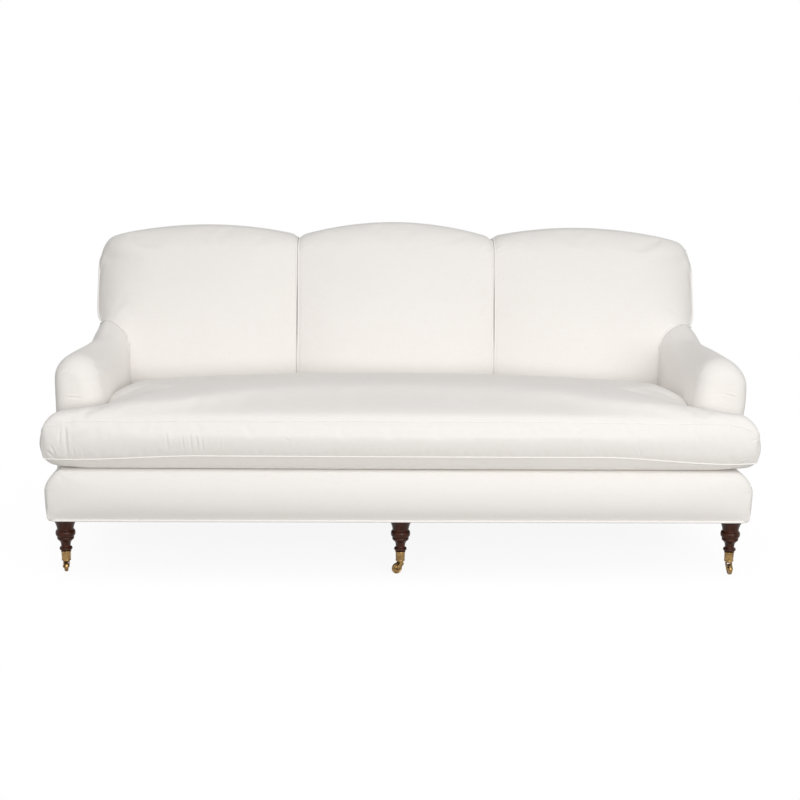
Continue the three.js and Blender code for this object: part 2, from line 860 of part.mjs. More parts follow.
// Rows of the T-cushion's plan: distance from the front and half width
function cushionRows() {
  const rows = [];
  const depth = cushionRear + cushionOverhang;
  const bodyHalf = armInnerFace - cushionClearance;
  const earEnd = cushionEarDepth + cushionOverhang;
  const rightAngle = Math.PI / 2;
  for (let step = 0; step <= cornerSteps; step += 1) {
    const angle = (step / cornerSteps) * rightAngle;
    rows.push([
      cushionCornerRadius * (1 - Math.cos(angle)),
      cushionHalfWidth - cushionCornerRadius * (1 - Math.sin(angle)),
    ]);
  }
  rows.push([earEnd / 2, cushionHalfWidth]);
  for (let step = 0; step <= cornerSteps; step += 1) {
    const angle = (step / cornerSteps) * rightAngle;
    rows.push([
      earEnd - cushionEarRadius * (1 - Math.sin(angle)),
      cushionHalfWidth - cushionEarRadius * (1 - Math.cos(angle)),
    ]);
  }
  const bodyStart = earEnd + cushionEarStep;
  for (let step = 0; step <= cushionBodyRows; step += 1) {
    const share = step / cushionBodyRows;
    rows.push([THREE.MathUtils.lerp(bodyStart, depth - cushionRearRadius, share), bodyHalf]);
  }
  for (let step = 1; step <= cornerSteps; step += 1) {
    const angle = (step / cornerSteps) * rightAngle;
    rows.push([
      depth - cushionRearRadius * (1 - Math.sin(angle)),
      bodyHalf - cushionRearRadius * (1 - Math.cos(angle)),
    ]);
  }
  return rows;
}

// A share that falls from 1 at an edge to 0 at a reach from it
function nearness(distance, reach) {
  return 1 - Math.min(distance / reach, 1);
}

// Top and bottom levels of the cushion at a place, given how far it is from the nearest edge
function cushionLevels(x, distance, edge) {
  const across = Math.abs(x) / cushionHalfWidth;
  const along = distance / (cushionRear + cushionOverhang);
  const crown = (1 - across ** cushionCrownPowerAcross)
    * (1 - Math.abs(2 * along - 1) ** cushionCrownPowerAlong);
  const welt = cushionTopWelt - cushionEndDroop * across ** 2 - cushionRearDroop * along ** 2;
  const besideArm = distance > cushionEarDepth + cushionOverhang;
  const tuck = besideArm ? cushionArmTuck * nearness(edge, cushionRollWidth) ** 2 : 0;
  return {
    top: welt + cushionCrown * crown - tuck,
    bottom: THREE.MathUtils.lerp(
      deckHeight + clearance,
      cushionBottomWelt,
      nearness(edge, cushionRollWidth) ** 2,
    ),
  };
}

// Seat cushion: a crowned T between two welts, with a bulging boxing round it
function seatCushion() {
  const rows = cushionRows();
  const depth = cushionRear + cushionOverhang;
  const tops = [];
  const bottoms = [];
  const middles = [];
  rows.forEach(([distance, half]) => {
    for (let column = 0; column <= cushionColumns; column += 1) {
      const across = Math.sin((2 * column / cushionColumns - 1) * Math.PI / 2);
      const drawnIn = Math.sign(across) * cushionBoxingBulge * Math.abs(across);
      const bow = cushionFrontBow * across ** 2 * nearness(distance, cushionEarDepth);
      const edge = Math.min(half * (1 - Math.abs(across)), distance, depth - distance);
      const x = half * across;
      const levels = cushionLevels(x, distance, edge);
      const y = distance - cushionOverhang + bow;
      const nearFront = nearness(distance, cushionRollWidth);
      const nearRear = nearness(depth - distance, cushionRollWidth);
      const pulledY = y + cushionBoxingBulge * (nearFront - nearRear);
      tops.push(new THREE.Vector3(x - drawnIn, pulledY, levels.top));
      bottoms.push(new THREE.Vector3(x - drawnIn, pulledY, levels.bottom));
      middles.push(new THREE.Vector3(x, y, (levels.top + levels.bottom) / 2));
    }
  });
  return closeCushion(tops, bottoms, middles, rows.length, cushionColumns + 1);
}

// Joins the top and bottom grids of the cushion through the middle of its boxing
function closeCushion(tops, bottoms, middles, rowCount, columnCount) {
  const rim = [];
  for (let column = 0; column < columnCount; column += 1) {
    rim.push(column);
  }
  for (let row = 1; row < rowCount; row += 1) {
    rim.push(row * columnCount + columnCount - 1);
  }
  for (let column = columnCount - 2; column >= 0; column -= 1) {
    rim.push((rowCount - 1) * columnCount + column);
  }
  for (let row = rowCount - 2; row > 0; row -= 1) {
    rim.push(row * columnCount);
  }
  const points = [...tops, ...bottoms, ...rim.map((at) => middles[at])];
  const bottomStart = tops.length;
  const middleStart = tops.length * 2;
  const triangles = [];
  for (let row = 0; row + 1 < rowCount; row += 1) {
    for (let column = 0; column + 1 < columnCount; column += 1) {
      const a = row * columnCount + column;
      const c = a + columnCount;
      triangles.push(a, a + 1, c, a + 1, c + 1, c);
      triangles.push(bottomStart + a, bottomStart + c, bottomStart + a + 1);
      triangles.push(bottomStart + a + 1, bottomStart + c, bottomStart + c + 1);
    }
  }
  rim.forEach((at, place) => {
    const next = (place + 1) % rim.length;
    const mid = middleStart + place;
    const midNext = middleStart + next;
    triangles.push(at, mid, rim[next], rim[next], mid, midNext);
    triangles.push(mid, bottomStart + at, midNext, midNext, bottomStart + at, bottomStart + rim[next]);
  });
  return surface(points, triangles);
}

// A round solid about its own axis from radius and level pairs that start and end on the axis
function turned(profile, sides) {
  const points = profile.map(([radius, level]) => new THREE.Vector2(radius, level));
  return new THREE.LatheGeometry(points, sides).rotateX(Math.PI / 2);
}

// Turned leg: spigot, collar, flared top, bulb with a bead, ankle, ring and a foot inside the caster cup
function legProfile() {
  const shoulder = underside - clearance;
  const spigotTop = railUnderside + legSpigotHeight;
  const collarTop = railUnderside - clearance;
  const footRadius = cupRadiusFoot - cupWall - clearance;
  const footBottom = cupTop - cupHeight + cupFloor + clearance;
  const level = (place) => THREE.MathUtils.lerp(cupTop, shoulder, legLevelShares[place]);
  return [
    [0, footBottom],
    [footRadius, footBottom],
    [footRadius, level('foot')],
    [legRingRadius, level('ring')],
    [legAnkleRadius, level('ankleFoot')],
    [legAnkleRadius, level('ankle')],
    [(legAnkleRadius + legBeadRadius) / 2, (level('ankle') + level('bead')) / 2],
    [legBeadRadius, level('bead')],
    [legBulgeRadius, level('bulge')],
    [legNeckRadius, level('neck')],
    [(legNeckRadius + legTopRadius) / 2, (level('neck') + shoulder) / 2],
    [legTopRadius, shoulder - legTopBand],
    [legTopRadius, shoulder],
    [legCollarRadius, shoulder],
    [legCollarRadius, collarTop],
    [legSpigotRadius, collarTop],
    [legSpigotRadius, spigotTop],
    [0, spigotTop],
  ];
}

// Brass cup round the leg's foot, with a hole in its floor for the caster's stem
function cupProfile() {
  const bottom = cupTop - cupHeight;
  const stemHole = stemRadius + axleGap;
  return [
    [stemHole, bottom],
    [cupRadiusFoot, bottom],
    [cupRadiusTop, cupTop],
    [cupRadiusFoot - cupWall, cupTop],
    [cupRadiusFoot - cupWall, bottom + cupFloor],
    [stemHole, bottom + cupFloor],
    [stemHole, bottom],
  ];
}

// Side view of a horn cheek: two circles and the straight edges between them
function cheekOutline(top, boss, topRadius, bossRadius) {
  const along = boss.clone().sub(top);
  const heading = Math.atan2(along.y, along.x);
  const spread = Math.acos((topRadius - bossRadius) / along.length());
  const shape = new THREE.Shape();
  shape.absarc(top.x, top.y, topRadius, heading + spread, heading - spread + 2 * Math.PI, false);
  shape.absarc(boss.x, boss.y, bossRadius, heading - spread, heading + spread, false);
  return shape;
}

// Caster horn: crown, stem, two cheeks and the riveted axle, trailing towards +X
function horn() {
  const axle = wheelAcrossFlats / 2;
  const crownBottom = wheelAcrossFlats + crownGap;
  const crownTop = crownBottom + crownThickness;
  const cheekInner = wheelWidth / 2 + wheelSideGap;
  const cheekOuter = cheekInner + cheekThickness;
  const outline = cheekOutline(
    new THREE.Vector2(0, crownTop - cheekTopRadius),
    new THREE.Vector2(casterTrail, axle),
    cheekTopRadius,
    cheekBossRadius,
  );
  const settings = { depth: cheekThickness, bevelEnabled: false, curveSegments: pinSides / 2 };
  const cheek = (y) => new THREE.ExtrudeGeometry(outline, settings).rotateX(Math.PI / 2).translate(0, y, 0);
  const pin = (radius, reach) => (
    new THREE.CylinderGeometry(radius, radius, reach * 2, pinSides).translate(casterTrail, 0, axle)
  );
  return join(
    post(0, 0, crownRadius, crownBottom, crownTop),
    post(0, 0, stemRadius, crownTop - crownThickness / 2, crownTop + cupFloor, pinSides),
    cheek(cheekOuter),
    cheek(-cheekInner),
    pin(axleRadius, cheekOuter + axleHeadHeight),
    ...[-1, 1].map((side) => (
      new THREE.CylinderGeometry(axleHeadRadius, axleHeadRadius, axleHeadHeight * 2, pinSides)
        .translate(casterTrail, side * cheekOuter, axle)
    )),
  );
}

// Wheel with flat facets round its tread, so that it stands on one of them
function wheel() {
  const half = wheelWidth / 2;
  const facetHalfAngle = Math.PI / wheelSides;
  const radius = wheelAcrossFlats / 2 / Math.cos(facetHalfAngle);
  const bore = (axleRadius + axleGap) / Math.cos(facetHalfAngle);
  const profile = [[bore, -half], [radius, -half], [radius, half], [bore, half], [bore, -half]];
  const points = profile.map(([reach, level]) => new THREE.Vector2(reach, level));
  return new THREE.LatheGeometry(points, wheelSides).rotateY(facetHalfAngle);
}

// Legs with their casters, the casters turned about their stems as they stand
function legsAndCasters() {
  legPlaces().forEach(({ name, x, y }) => {
    const place = new THREE.Group();
    place.position.set(x, y, 0);
    sofa.add(place);
    piece(`leg_${name}`, turned(legProfile(), legSides), walnut, place);
    piece(`caster_cup_${name}`, turned(cupProfile(), cupSides), brass, place);
    const caster = new THREE.Group();
    caster.rotation.z = trailDegrees[name] * degrees;
    place.add(caster);
    piece(`caster_horn_${name}`, horn(), brass, caster);
    const roller = piece(`caster_wheel_${name}`, wheel(), brass, caster);
    roller.position.set(casterTrail, 0, wheelAcrossFlats / 2);
  });
}

baseRails();
armFrame();
backFrame();
seatWebbing();
dustCover();
seatSprings();
backWebbing();
seatDeck();
frontBorder();
armUpholstery();
backPads();
outsideBack();
piece('seat_cushion', seatCushion(), linen);
legsAndCasters();

// The footprint runs from the front of the cushion to the rear of the outside back
const rearmost = rearPlane(backHeight - backPanelInset) + clearance + backPanelThickness;
sofa.position.y = (cushionOverhang - rearmost) / 2;

export default sofa;
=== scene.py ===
import json
import math

import bmesh
import bpy
import numpy as np
from mathutils import Matrix, Vector
from mathutils.bvhtree import BVHTree

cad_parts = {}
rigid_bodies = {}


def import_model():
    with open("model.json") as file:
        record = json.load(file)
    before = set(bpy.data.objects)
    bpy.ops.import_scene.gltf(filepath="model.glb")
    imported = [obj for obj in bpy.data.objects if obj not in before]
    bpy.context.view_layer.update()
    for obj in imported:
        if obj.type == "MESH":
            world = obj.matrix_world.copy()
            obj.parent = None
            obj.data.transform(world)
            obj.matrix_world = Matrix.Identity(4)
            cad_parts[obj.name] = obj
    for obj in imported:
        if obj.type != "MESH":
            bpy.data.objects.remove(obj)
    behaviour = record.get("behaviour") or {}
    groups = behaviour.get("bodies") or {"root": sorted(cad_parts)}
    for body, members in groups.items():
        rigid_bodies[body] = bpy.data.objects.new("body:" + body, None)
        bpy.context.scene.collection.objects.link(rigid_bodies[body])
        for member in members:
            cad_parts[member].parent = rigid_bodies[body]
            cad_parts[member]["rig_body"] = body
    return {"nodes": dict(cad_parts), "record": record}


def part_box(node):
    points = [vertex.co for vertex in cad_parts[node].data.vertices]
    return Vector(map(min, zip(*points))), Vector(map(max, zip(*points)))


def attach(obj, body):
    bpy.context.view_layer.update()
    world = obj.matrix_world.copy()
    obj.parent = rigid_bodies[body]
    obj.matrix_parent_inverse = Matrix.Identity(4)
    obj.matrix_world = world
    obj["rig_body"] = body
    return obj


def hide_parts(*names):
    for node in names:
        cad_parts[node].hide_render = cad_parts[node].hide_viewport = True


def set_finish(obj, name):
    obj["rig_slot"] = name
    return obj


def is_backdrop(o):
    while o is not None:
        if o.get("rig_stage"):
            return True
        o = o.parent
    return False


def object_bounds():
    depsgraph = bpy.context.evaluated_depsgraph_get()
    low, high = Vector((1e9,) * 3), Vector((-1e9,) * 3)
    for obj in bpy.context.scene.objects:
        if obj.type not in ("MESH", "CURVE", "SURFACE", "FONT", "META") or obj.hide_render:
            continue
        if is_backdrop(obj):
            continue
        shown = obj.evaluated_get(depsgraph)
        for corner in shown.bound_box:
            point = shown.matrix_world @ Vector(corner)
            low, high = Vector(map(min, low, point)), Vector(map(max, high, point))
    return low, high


bl_info = {
    "name": "English Roll Arm Sofa",
    "version": (1, 0, 0),
    "blender": (4, 5, 0),
    "location": "View3D > Sidebar > Sofa",
    "description": "Upholstery, turned legs and brass casters around the sofa's solids",
    "category": "Object",
}

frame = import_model()
solid_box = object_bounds()
record = frame["record"]

# Millimetres and degrees
MM = 0.001
DEGREE = math.pi / 180

# Planes taken from the solids
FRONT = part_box("front_border")[0].y
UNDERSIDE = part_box("front_border")[0].z
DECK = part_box("front_border")[1].z
BASE_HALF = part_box("front_border")[1].x
ARM_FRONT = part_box("arm_upholstery_right")[0].y
ARM_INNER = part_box("arm_upholstery_right")[0].x
ARM_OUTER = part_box("arm_upholstery_right")[1].x
BACK_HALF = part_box("back_pad_right")[1].x
BACK_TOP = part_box("back_pad_centre")[1].z
SEAM_GAP = 1 * MM
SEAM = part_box("back_pad_right")[0].x - SEAM_GAP
CUSHION_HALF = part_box("seat_cushion")[1].x
CUSHION_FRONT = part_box("seat_cushion")[0].y
CUSHION_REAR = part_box("seat_cushion")[1].y
CUSHION_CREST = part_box("seat_cushion")[1].z

# Base
BASE_FOOT_INSET = 6.5 * MM
BASE_WIDEST = 245 * MM
BASE_SHOULDER = 44 * MM
BORDER_NOSE = 18 * MM
BORDER_BULGE = 8 * MM
BORDER_FOOT_SETBACK = 5 * MM
BORDER_END = 110 * MM
BORDER_COLUMNS = 120
BORDER_LOW_ROWS = 10
BORDER_HIGH_ROWS = 14
SHOULDER_POWER = 1.3

# Arms
ARM_LEAN = 10 * MM
ARM_LEAN_FROM = 450 * MM
ARM_LEAN_TO = 540 * MM
ARM_TOP_FRONT = 587 * MM
ARM_RISE = 36 * MM
ARM_RISE_FROM = FRONT + 530 * MM
ARM_RISE_TO = FRONT + 690 * MM
ARM_NOSE = 58 * MM
ARM_NOSE_BULGE = 7 * MM
ARM_NOSE_FADE = 60 * MM
ARM_NOSE_SQUARENESS = 3.2
ARM_COLUMNS = 12
ARM_ROWS = 40
ARM_ARC_STEPS = 32
ARM_REAR_SLOPE = 62 * MM
ARM_RIGHT_FULLER = 17 * MM
ARM_LEFT_SLIMMER = 16 * MM
ARM_RADIUS = (ARM_OUTER - ARM_INNER - ARM_LEAN) / 2
ARM_TOP_REAR = ARM_TOP_FRONT + ARM_RISE
ARM_MIDDLE = ARM_INNER + ARM_LEAN + ARM_RADIUS
KNEE = ARM_TOP_REAR - ARM_RADIUS
ARM_LEAN_END = FRONT + 590 * MM

# Back
RAIL_UNDERSIDE = 170 * MM
REAR_FOOT = FRONT + 771 * MM
REAR_RAKE = math.tan(8.5 * DEGREE)
PAD_FRONT = FRONT + 645 * MM
PAD_FRONT_LEVEL = 460 * MM
PAD_RAKE = math.tan(12 * DEGREE)
PAD_CROWN = 34 * MM
PAD_TOP_RADIUS = 62 * MM
PAD_REAR_RADIUS = 22 * MM
CENTRE_ARCH = 45.5 * MM
SIDE_DROP = 12.5 * MM
SIDE_MIDDLE = 589 * MM
SIDE_ARCH = 29.5 * MM
SEAM_DIP = 17 * MM
SEAM_DIP_WIDTH = 26 * MM
SEAM_SETBACK = 24 * MM
SEAM_PARTING = 0.8 * MM
LOBE_FOOT_SHARES = (0.12, 0.35, 0.6, 0.82, 0.94, 0.985)
CORNER_WIDTH = 46 * MM
CORNER_DROP = 70 * MM
FOOT_FALL_HEIGHT = 50 * MM
HIP_REAR = (FRONT + 770 * MM, FRONT + 815 * MM)
HIP_RISE = 84 * MM
HIP_WIDTH = 25 * MM
EDGE_SETBACK = 62 * MM
PLEAT_RISE = 16 * MM
PLEAT_REACH = 31 * MM
LOBE_LOW_ROWS = 16
LOBE_HIGH_ROWS = 26
LOBE_TOP_ROWS = 12
LEFT_LOBE_NARROWER = 11 * MM
PANEL_INSET = 9 * MM
PANEL_THICKNESS = 6 * MM

# Seat cushion
EAR_REAR = FRONT + 150 * MM
CORNER_RADIUS = 40 * MM
EAR_RADIUS = 18 * MM
INNER_RADIUS = 5 * MM
SLAB_RADIUS = 2 * MM
REAR_RADIUS = 26 * MM
FRONT_BOW = 9 * MM
TOP_WELT = 444 * MM
BOTTOM_WELT = 344 * MM
END_DROOP = 5 * MM
END_WIDTH = 120 * MM
END_FALL_WIDTH = 60 * MM
END_SHOULDER_LEFT = 39 * MM
END_SHOULDER_RIGHT = 46 * MM
END_RIGHT_FULLER = 7 * MM
BOTTOM_DROOP_LEFT = 13 * MM
BOTTOM_DROOP_RIGHT = 20 * MM
END_LIFT = 10 * MM
END_CURL = 12 * MM
REAR_DROOP = 10 * MM
ARM_TUCK = 7 * MM
ROLL_WIDTH = 44 * MM
ROLL_RISE = 17 * MM
EAR_TUCK = 54 * MM
EAR_TUCK_WIDTH = 140 * MM
EAR_TUCK_FROM = 705 * MM
EAR_TUCK_TO = 860 * MM
REAR_FALL = 26 * MM
UNDERSIDE_ROLL = 54 * MM
SIDE_WIDTH = 12 * MM
FRONT_ROLL_UNDER = 8 * MM
BOXING_BULGE = 9 * MM
WALL_HEIGHT = 80 * MM
WALL_HOLD_SHARE = 0.9

# Gaps and small shared sizes
CLEARANCE = 0.3 * MM
CUSHION_CLEARANCE = 4 * MM
BRASS_FIT = 0.1 * MM
SOFT_EDGE = 1 * MM
PROBE = 1 * MM
WELD = 0.001 * MM

# How far each cover is held: where the hold starts to fade, and over what width
LOBE_SEAM_HOLD = (4 * MM, 16 * MM)
LOBE_END_HOLD = (6 * MM, 16 * MM)
LOBE_REAR_HOLD = (8 * MM, 24 * MM)
LOBE_FOOT_HOLD = (40 * MM, 40 * MM)
LOBE_ARM_HOLD = (8 * MM, 30 * MM)
LOBE_ARM_OVERLAP = 20 * MM
ARM_LOW_HOLD = (20 * MM, 70 * MM)
BORDER_LOW_HOLD = (4 * MM, 14 * MM)
CUSHION_EDGE_HOLD = (0, 24 * MM)
CUSHION_TOP_HOLD = (0, 8 * MM)
CUSHION_UNDER_HOLD = (3 * MM, 10 * MM)
CUSHION_SIDE_HOLD = (0, 10 * MM)
CUSHION_TOP_SHARE = 0.4
ARM_OUTSIDE_SHARE = 0.8

# Stretches over which a form or a hold comes in
ARM_REAR_HOLD = (ARM_RISE_TO - 60 * MM, ARM_RISE_TO + 20 * MM)
ARM_SIDE_HOLD = (ARM_OUTER - 6 * MM, ARM_OUTER - 1 * MM)
ARM_FRONT_HOLD = (ARM_FRONT + 10 * MM, ARM_FRONT + 50 * MM)
ARM_UPRIGHT = (ARM_LEAN_END - 160 * MM, ARM_LEAN_END)
ARM_REAR_SLOPING = (ARM_RISE_FROM - 200 * MM, ARM_RISE_TO)
ARM_NOSE_FORWARD = (TOP_WELT - 30 * MM, TOP_WELT + 60 * MM)
BORDER_TOP_HOLD = (DECK - 6 * MM, DECK - 1 * MM)
BORDER_REAR_HOLD = (FRONT + 60 * MM, FRONT + 120 * MM)
FULLER_ACROSS = (ARM_INNER + 30 * MM, ARM_OUTER)
FULLER_UP = (DECK + 30 * MM, TOP_WELT + 20 * MM)
FULLER_TOP = (TOP_WELT + 50 * MM, ARM_TOP_FRONT)
FULLER_TOP_SHARE = 0.75
FULLER_BACK = (ARM_FRONT + 120 * MM, ARM_FRONT + 460 * MM)
SLIMMER_ACROSS = (ARM_MIDDLE - 30 * MM, ARM_OUTER - 20 * MM)
SLIMMER_UP = (TOP_WELT + 16 * MM, ARM_TOP_FRONT - 27 * MM)
SLIMMER_BACK = (ARM_FRONT + 60 * MM, ARM_FRONT + 260 * MM)

# How far a filling may push its cover out, and how full each piece is
CUSHION_REACH = 14 * MM
LOBE_REACH = 10 * MM
ARM_REACH = 8 * MM
BORDER_REACH = 4 * MM
CUSHION_SLACK_SHARE = 0.01
CLOTH_FRAMES = 20

# Outside back, deck and dust cover
PANEL_SLACK = 2 * MM
PANEL_FULLNESS = 5 * MM
PANEL_EDGE = 120 * MM
DECK_ROUNDING = 5 * MM
DECK_EDGE = 12 * MM
DUST_SAG = 5 * MM
PANEL_GRID = (160, 60)
DECK_GRID = (60, 24)
DUST_GRID = (80, 32)

# Piping
OUTLINE_STEP = 9 * MM
PIPING_LIFT = 0.7 * MM
EDGE_INSET = 1 * MM
EDGE_LIFT = 2.2 * MM
HIP_PATH_END = 3 * MM
PLEAT_LIFT = 1 * MM
PLEAT_TAPER = 12 * MM
SEAM_PATH_FOOT = 20 * MM
SEAM_OPEN_FROM = 520 * MM
SEAM_OPEN_HEIGHT = 240 * MM
JOINT_PATH_FOOT = 30 * MM
JOINT_TUCK = 1 * MM
JOINT_INSET = 2 * MM
BASE_PIPING_DROP = 1.5 * MM
BASE_REAR_CORNER = 10 * MM
BASE_ARM_CORNER = 20 * MM

# Casters
CUP_TOP = 63.5 * MM
CUP_BOTTOM = 35.5 * MM
CUP_TOP_RADIUS = 14.2 * MM
CUP_FOOT_RADIUS = 13 * MM
CUP_WALL = 1.6 * MM
CUP_FLOOR = 4 * MM
STEM_RADIUS = 3 * MM
CROWN_TOP = 35.2 * MM
CROWN_BOTTOM = 32 * MM
CROWN_RADIUS = 9 * MM
WHEEL_RADIUS = 15.5 * MM
WHEEL_HALF = 5.5 * MM
CHEEK_INNER = 6 * MM
CHEEK_OUTER = 8.2 * MM
CHEEK_TOP_RADIUS = 7 * MM
CHEEK_BOSS_RADIUS = 5 * MM
AXLE_RADIUS = 2.4 * MM
AXLE_HEAD_RADIUS = 3.6 * MM
AXLE_HEAD_HEIGHT = 1.4 * MM
TRAIL = 11 * MM
CUP_RIM = (CUP_TOP_RADIUS, CUP_TOP - 2 * MM, 4 * MM, 1.2 * MM)
CUP_BAND = (CUP_FOOT_RADIUS, CUP_BOTTOM + 2.4 * MM, 3.6 * MM, 0.8 * MM)
CUP_WAIST = 0.6 * MM
CUP_WAIST_STEP = 0.8 * MM
CUP_CHAMFER = 0.5 * MM
CROWN_EDGE = 0.8 * MM
STEM_GAP = 0.5 * MM
CHEEK_EDGE = 0.5 * MM
TREAD_CROWN = 2.4 * MM
TREAD_EDGE = 0.8 * MM

# The wheel's hub, out from its bore and in from its side, then its rim, in from the tread and the side
WHEEL_HUB = ((0, 0), (2.2 * MM, 0), (2.8 * MM, 0.6 * MM), (3.4 * MM, 2.2 * MM))
WHEEL_RIM = ((4 * MM, 2.2 * MM), (3 * MM, 1.2 * MM))

# Legs; each rounded ring has an outer radius, a middle level, a height and a depth
LEG_PLACES = ("front_left", "front_centre", "front_right", "rear_left", "rear_centre", "rear_right")
SHOULDER = UNDERSIDE - CLEARANCE
COLLAR_TOP = RAIL_UNDERSIDE - CLEARANCE
SPIGOT_TOP = RAIL_UNDERSIDE + 38 * MM
SPIGOT_RADIUS = 11 * MM
COLLAR_RADIUS = 24 * MM
LEG_TOP_RADIUS = 33 * MM
LEG_TOP_BAND = 9 * MM
LEG_RING = (17.6 * MM, CUP_TOP + 7 * MM, 10 * MM, 4.2 * MM)
LEG_BEAD = (23 * MM, CUP_TOP + 37 * MM, 9 * MM, 2.2 * MM)
LEG_BULGE = (27 * MM, CUP_TOP + 51 * MM, 18 * MM, 4.4 * MM)
ANKLE = (13 * MM, CUP_TOP + 17 * MM)
ANKLE_TOP = (ANKLE[0] + 0.3 * MM, CUP_TOP + 20 * MM)
NECK = (22.4 * MM, CUP_TOP + 61.5 * MM)
NECK_TOP = (NECK[0], NECK[1] + 2.5 * MM)
FLARE_STEP = 1.2 * MM
ANKLE_SAG = 0.6 * MM
SHIN_SAG = 1.6 * MM
THROAT_SAG = 1.4 * MM

# Depth of the relief of each finish, and the distance between the threads of two of them
LINEN_RELIEF = 0.12 * MM
LACQUER_RELIEF = 0.15 * MM
BRASS_RELIEF = 0.2 * MM
BEECH_RELIEF = 0.3 * MM
WIRE_RELIEF = 0.1 * MM
JUTE_RELIEF = 0.5 * MM
JUTE_PITCH = 2.6 * MM
CAMBRIC_RELIEF = 0.3 * MM
CAMBRIC_PITCH = 1.6 * MM

# Folds seen from the front, in metres: a start and an end, each across and up, then depth and width
CUSHION_CREASES = (
    ((-0.899, 0.431), (-0.896, 0.342), 0.0034, 0.0085),
    ((-0.912, 0.424), (-0.916, 0.372), 0.0018, 0.0070),
    ((-0.950, 0.356), (-0.934, 0.341), 0.0020, 0.0060),
    ((-0.938, 0.374), (-0.928, 0.344), 0.0020, 0.0060),
    ((-0.880, 0.366), (-0.877, 0.342), 0.0014, 0.0055),
    ((-0.855, 0.362), (-0.851, 0.342), 0.0010, 0.0050),
    ((-0.632, 0.420), (-0.627, 0.364), 0.0017, 0.0065),
    ((-0.589, 0.404), (-0.585, 0.356), 0.0018, 0.0055),
    ((-0.568, 0.414), (-0.564, 0.357), 0.0018, 0.0055),
    ((-0.551, 0.410), (-0.548, 0.358), 0.0020, 0.0055),
    ((-0.536, 0.404), (-0.534, 0.362), 0.0017, 0.0055),
    ((-0.488, 0.400), (-0.489, 0.372), 0.0013, 0.0060),
    ((-0.318, 0.400), (-0.300, 0.387), 0.0009, 0.0060),
    ((0.966, 0.398), (0.944, 0.393), 0.0012, 0.0055),
    ((0.940, 0.348), (0.918, 0.337), 0.0009, 0.0055),
    ((0.640, 0.372), (0.646, 0.350), 0.0008, 0.0060),
)
LEFT_ARM_CREASES = (
    ((-0.944, 0.536), (-0.910, 0.555), 0.0018, 0.0055),
    ((-0.944, 0.524), (-0.915, 0.538), 0.0012, 0.0055),
    ((-0.930, 0.473), (-0.884, 0.470), 0.0018, 0.0055),
)
RIGHT_ARM_CREASES = (
    ((0.900, 0.494), (0.946, 0.481), 0.0018, 0.0060),
    ((0.920, 0.572), (0.948, 0.553), 0.0016, 0.0060),
    ((0.915, 0.556), (0.944, 0.538), 0.0010, 0.0060),
)

# Pleats at the lobes' top corners, in metres: where each starts, across and up, and which way it runs
PLEATS = (
    ("left", -0.920, 0.826, 1), ("left", -0.309, 0.837, -1), ("centre", -0.300, 0.837, 1),
    ("centre", 0.301, 0.839, -1), ("right", 0.312, 0.839, 1), ("right", 0.930, 0.840, -1))

# Lamps, in metres: place, width and height, and the property that holds the power
LAMPS = {
    "key_lamp": ((1.75, -4.5, 1.3), (2.4, 1.5), "key_power"),
    "side_lamp": ((-0.5, -4.4, 1.1), (1.6, 1.2), "side_power"),
    "window_left": ((-1.9, -4.6, 2.2), (0.35, 0.5), "window_power"),
    "window_right": ((0.7, -4.9, 2.4), (0.35, 0.5), "window_power"),
}
LAMP_AIM = Vector((0, 0, 0.5))

# Floor, in metres: how far its shadow reaches, then fades, and how much less its length counts
FLOOR_HALF = 30
SHADOW_REACH = 0.55
SHADOW_FADE = 0.7
SHADOW_LENGTH_SHARE = 0.45

# Width of the camera's sensor, in millimetres
SENSOR_WIDTH = 36


class SofaFabric(bpy.types.PropertyGroup):
    """Cover of the upholstered pieces."""

    linen: bpy.props.FloatVectorProperty(
        name="Linen", description="Colour of the cover in full light",
        default=(0.87, 0.845, 0.815), subtype="COLOR", min=0, max=1)
    linen_shade: bpy.props.FloatVectorProperty(
        name="Linen shade", description="Colour of the thicker threads",
        default=(0.83, 0.795, 0.755), subtype="COLOR", min=0, max=1)
    # The piping colour is a little lighter than the linen: painted highlight, so that the round piping
    # reads brighter than the cover it is sewn from.
    piping: bpy.props.FloatVectorProperty(
        name="Piping", description="Colour of the sewn piping",
        default=(0.89, 0.868, 0.84), subtype="COLOR", min=0, max=1)
    thread_pitch: bpy.props.FloatProperty(
        name="Thread pitch", description="Distance between two threads of the weave",
        default=0.0011, unit="LENGTH")
    piping_diameter: bpy.props.FloatProperty(
        name="Piping diameter", description="Thickness of the sewn piping",
        default=0.005, unit="LENGTH")
    mesh_size: bpy.props.FloatProperty(
        name="Mesh size", description="Size of the faces of a cover before it is refined",
        default=0.010, unit="LENGTH")
    pressure: bpy.props.FloatProperty(
        name="Filling pressure", description="How hard the filling pushes the cover out",
        default=3.0)


class SofaTimber(bpy.types.PropertyGroup):
    """Legs and frame timber."""

    walnut: bpy.props.FloatVectorProperty(
        name="Walnut", description="Colour between the grain lines of the legs",
        default=(0.078, 0.022, 0.010), subtype="COLOR", min=0, max=1)
    walnut_grain: bpy.props.FloatVectorProperty(
        name="Walnut grain", description="Colour of the grain lines of the legs",
        default=(0.014, 0.004, 0.002), subtype="COLOR", min=0, max=1)
    beech: bpy.props.FloatVectorProperty(
        name="Beech", description="Colour of the hidden frame",
        default=(0.55, 0.36, 0.20), subtype="COLOR", min=0, max=1)
    leg_steps: bpy.props.IntProperty(
        name="Leg steps", description="Faces round a leg", default=48, min=8)


class SofaBrass(bpy.types.PropertyGroup):
    """Caster cups, horns and wheels."""

    brass: bpy.props.FloatVectorProperty(
        name="Brass", description="Colour where the brass is rubbed bright",
        default=(0.35, 0.22, 0.09), subtype="COLOR", min=0, max=1)
    tarnish: bpy.props.FloatVectorProperty(
        name="Tarnish", description="Colour where the brass has darkened",
        default=(0.055, 0.027, 0.01), subtype="COLOR", min=0, max=1)


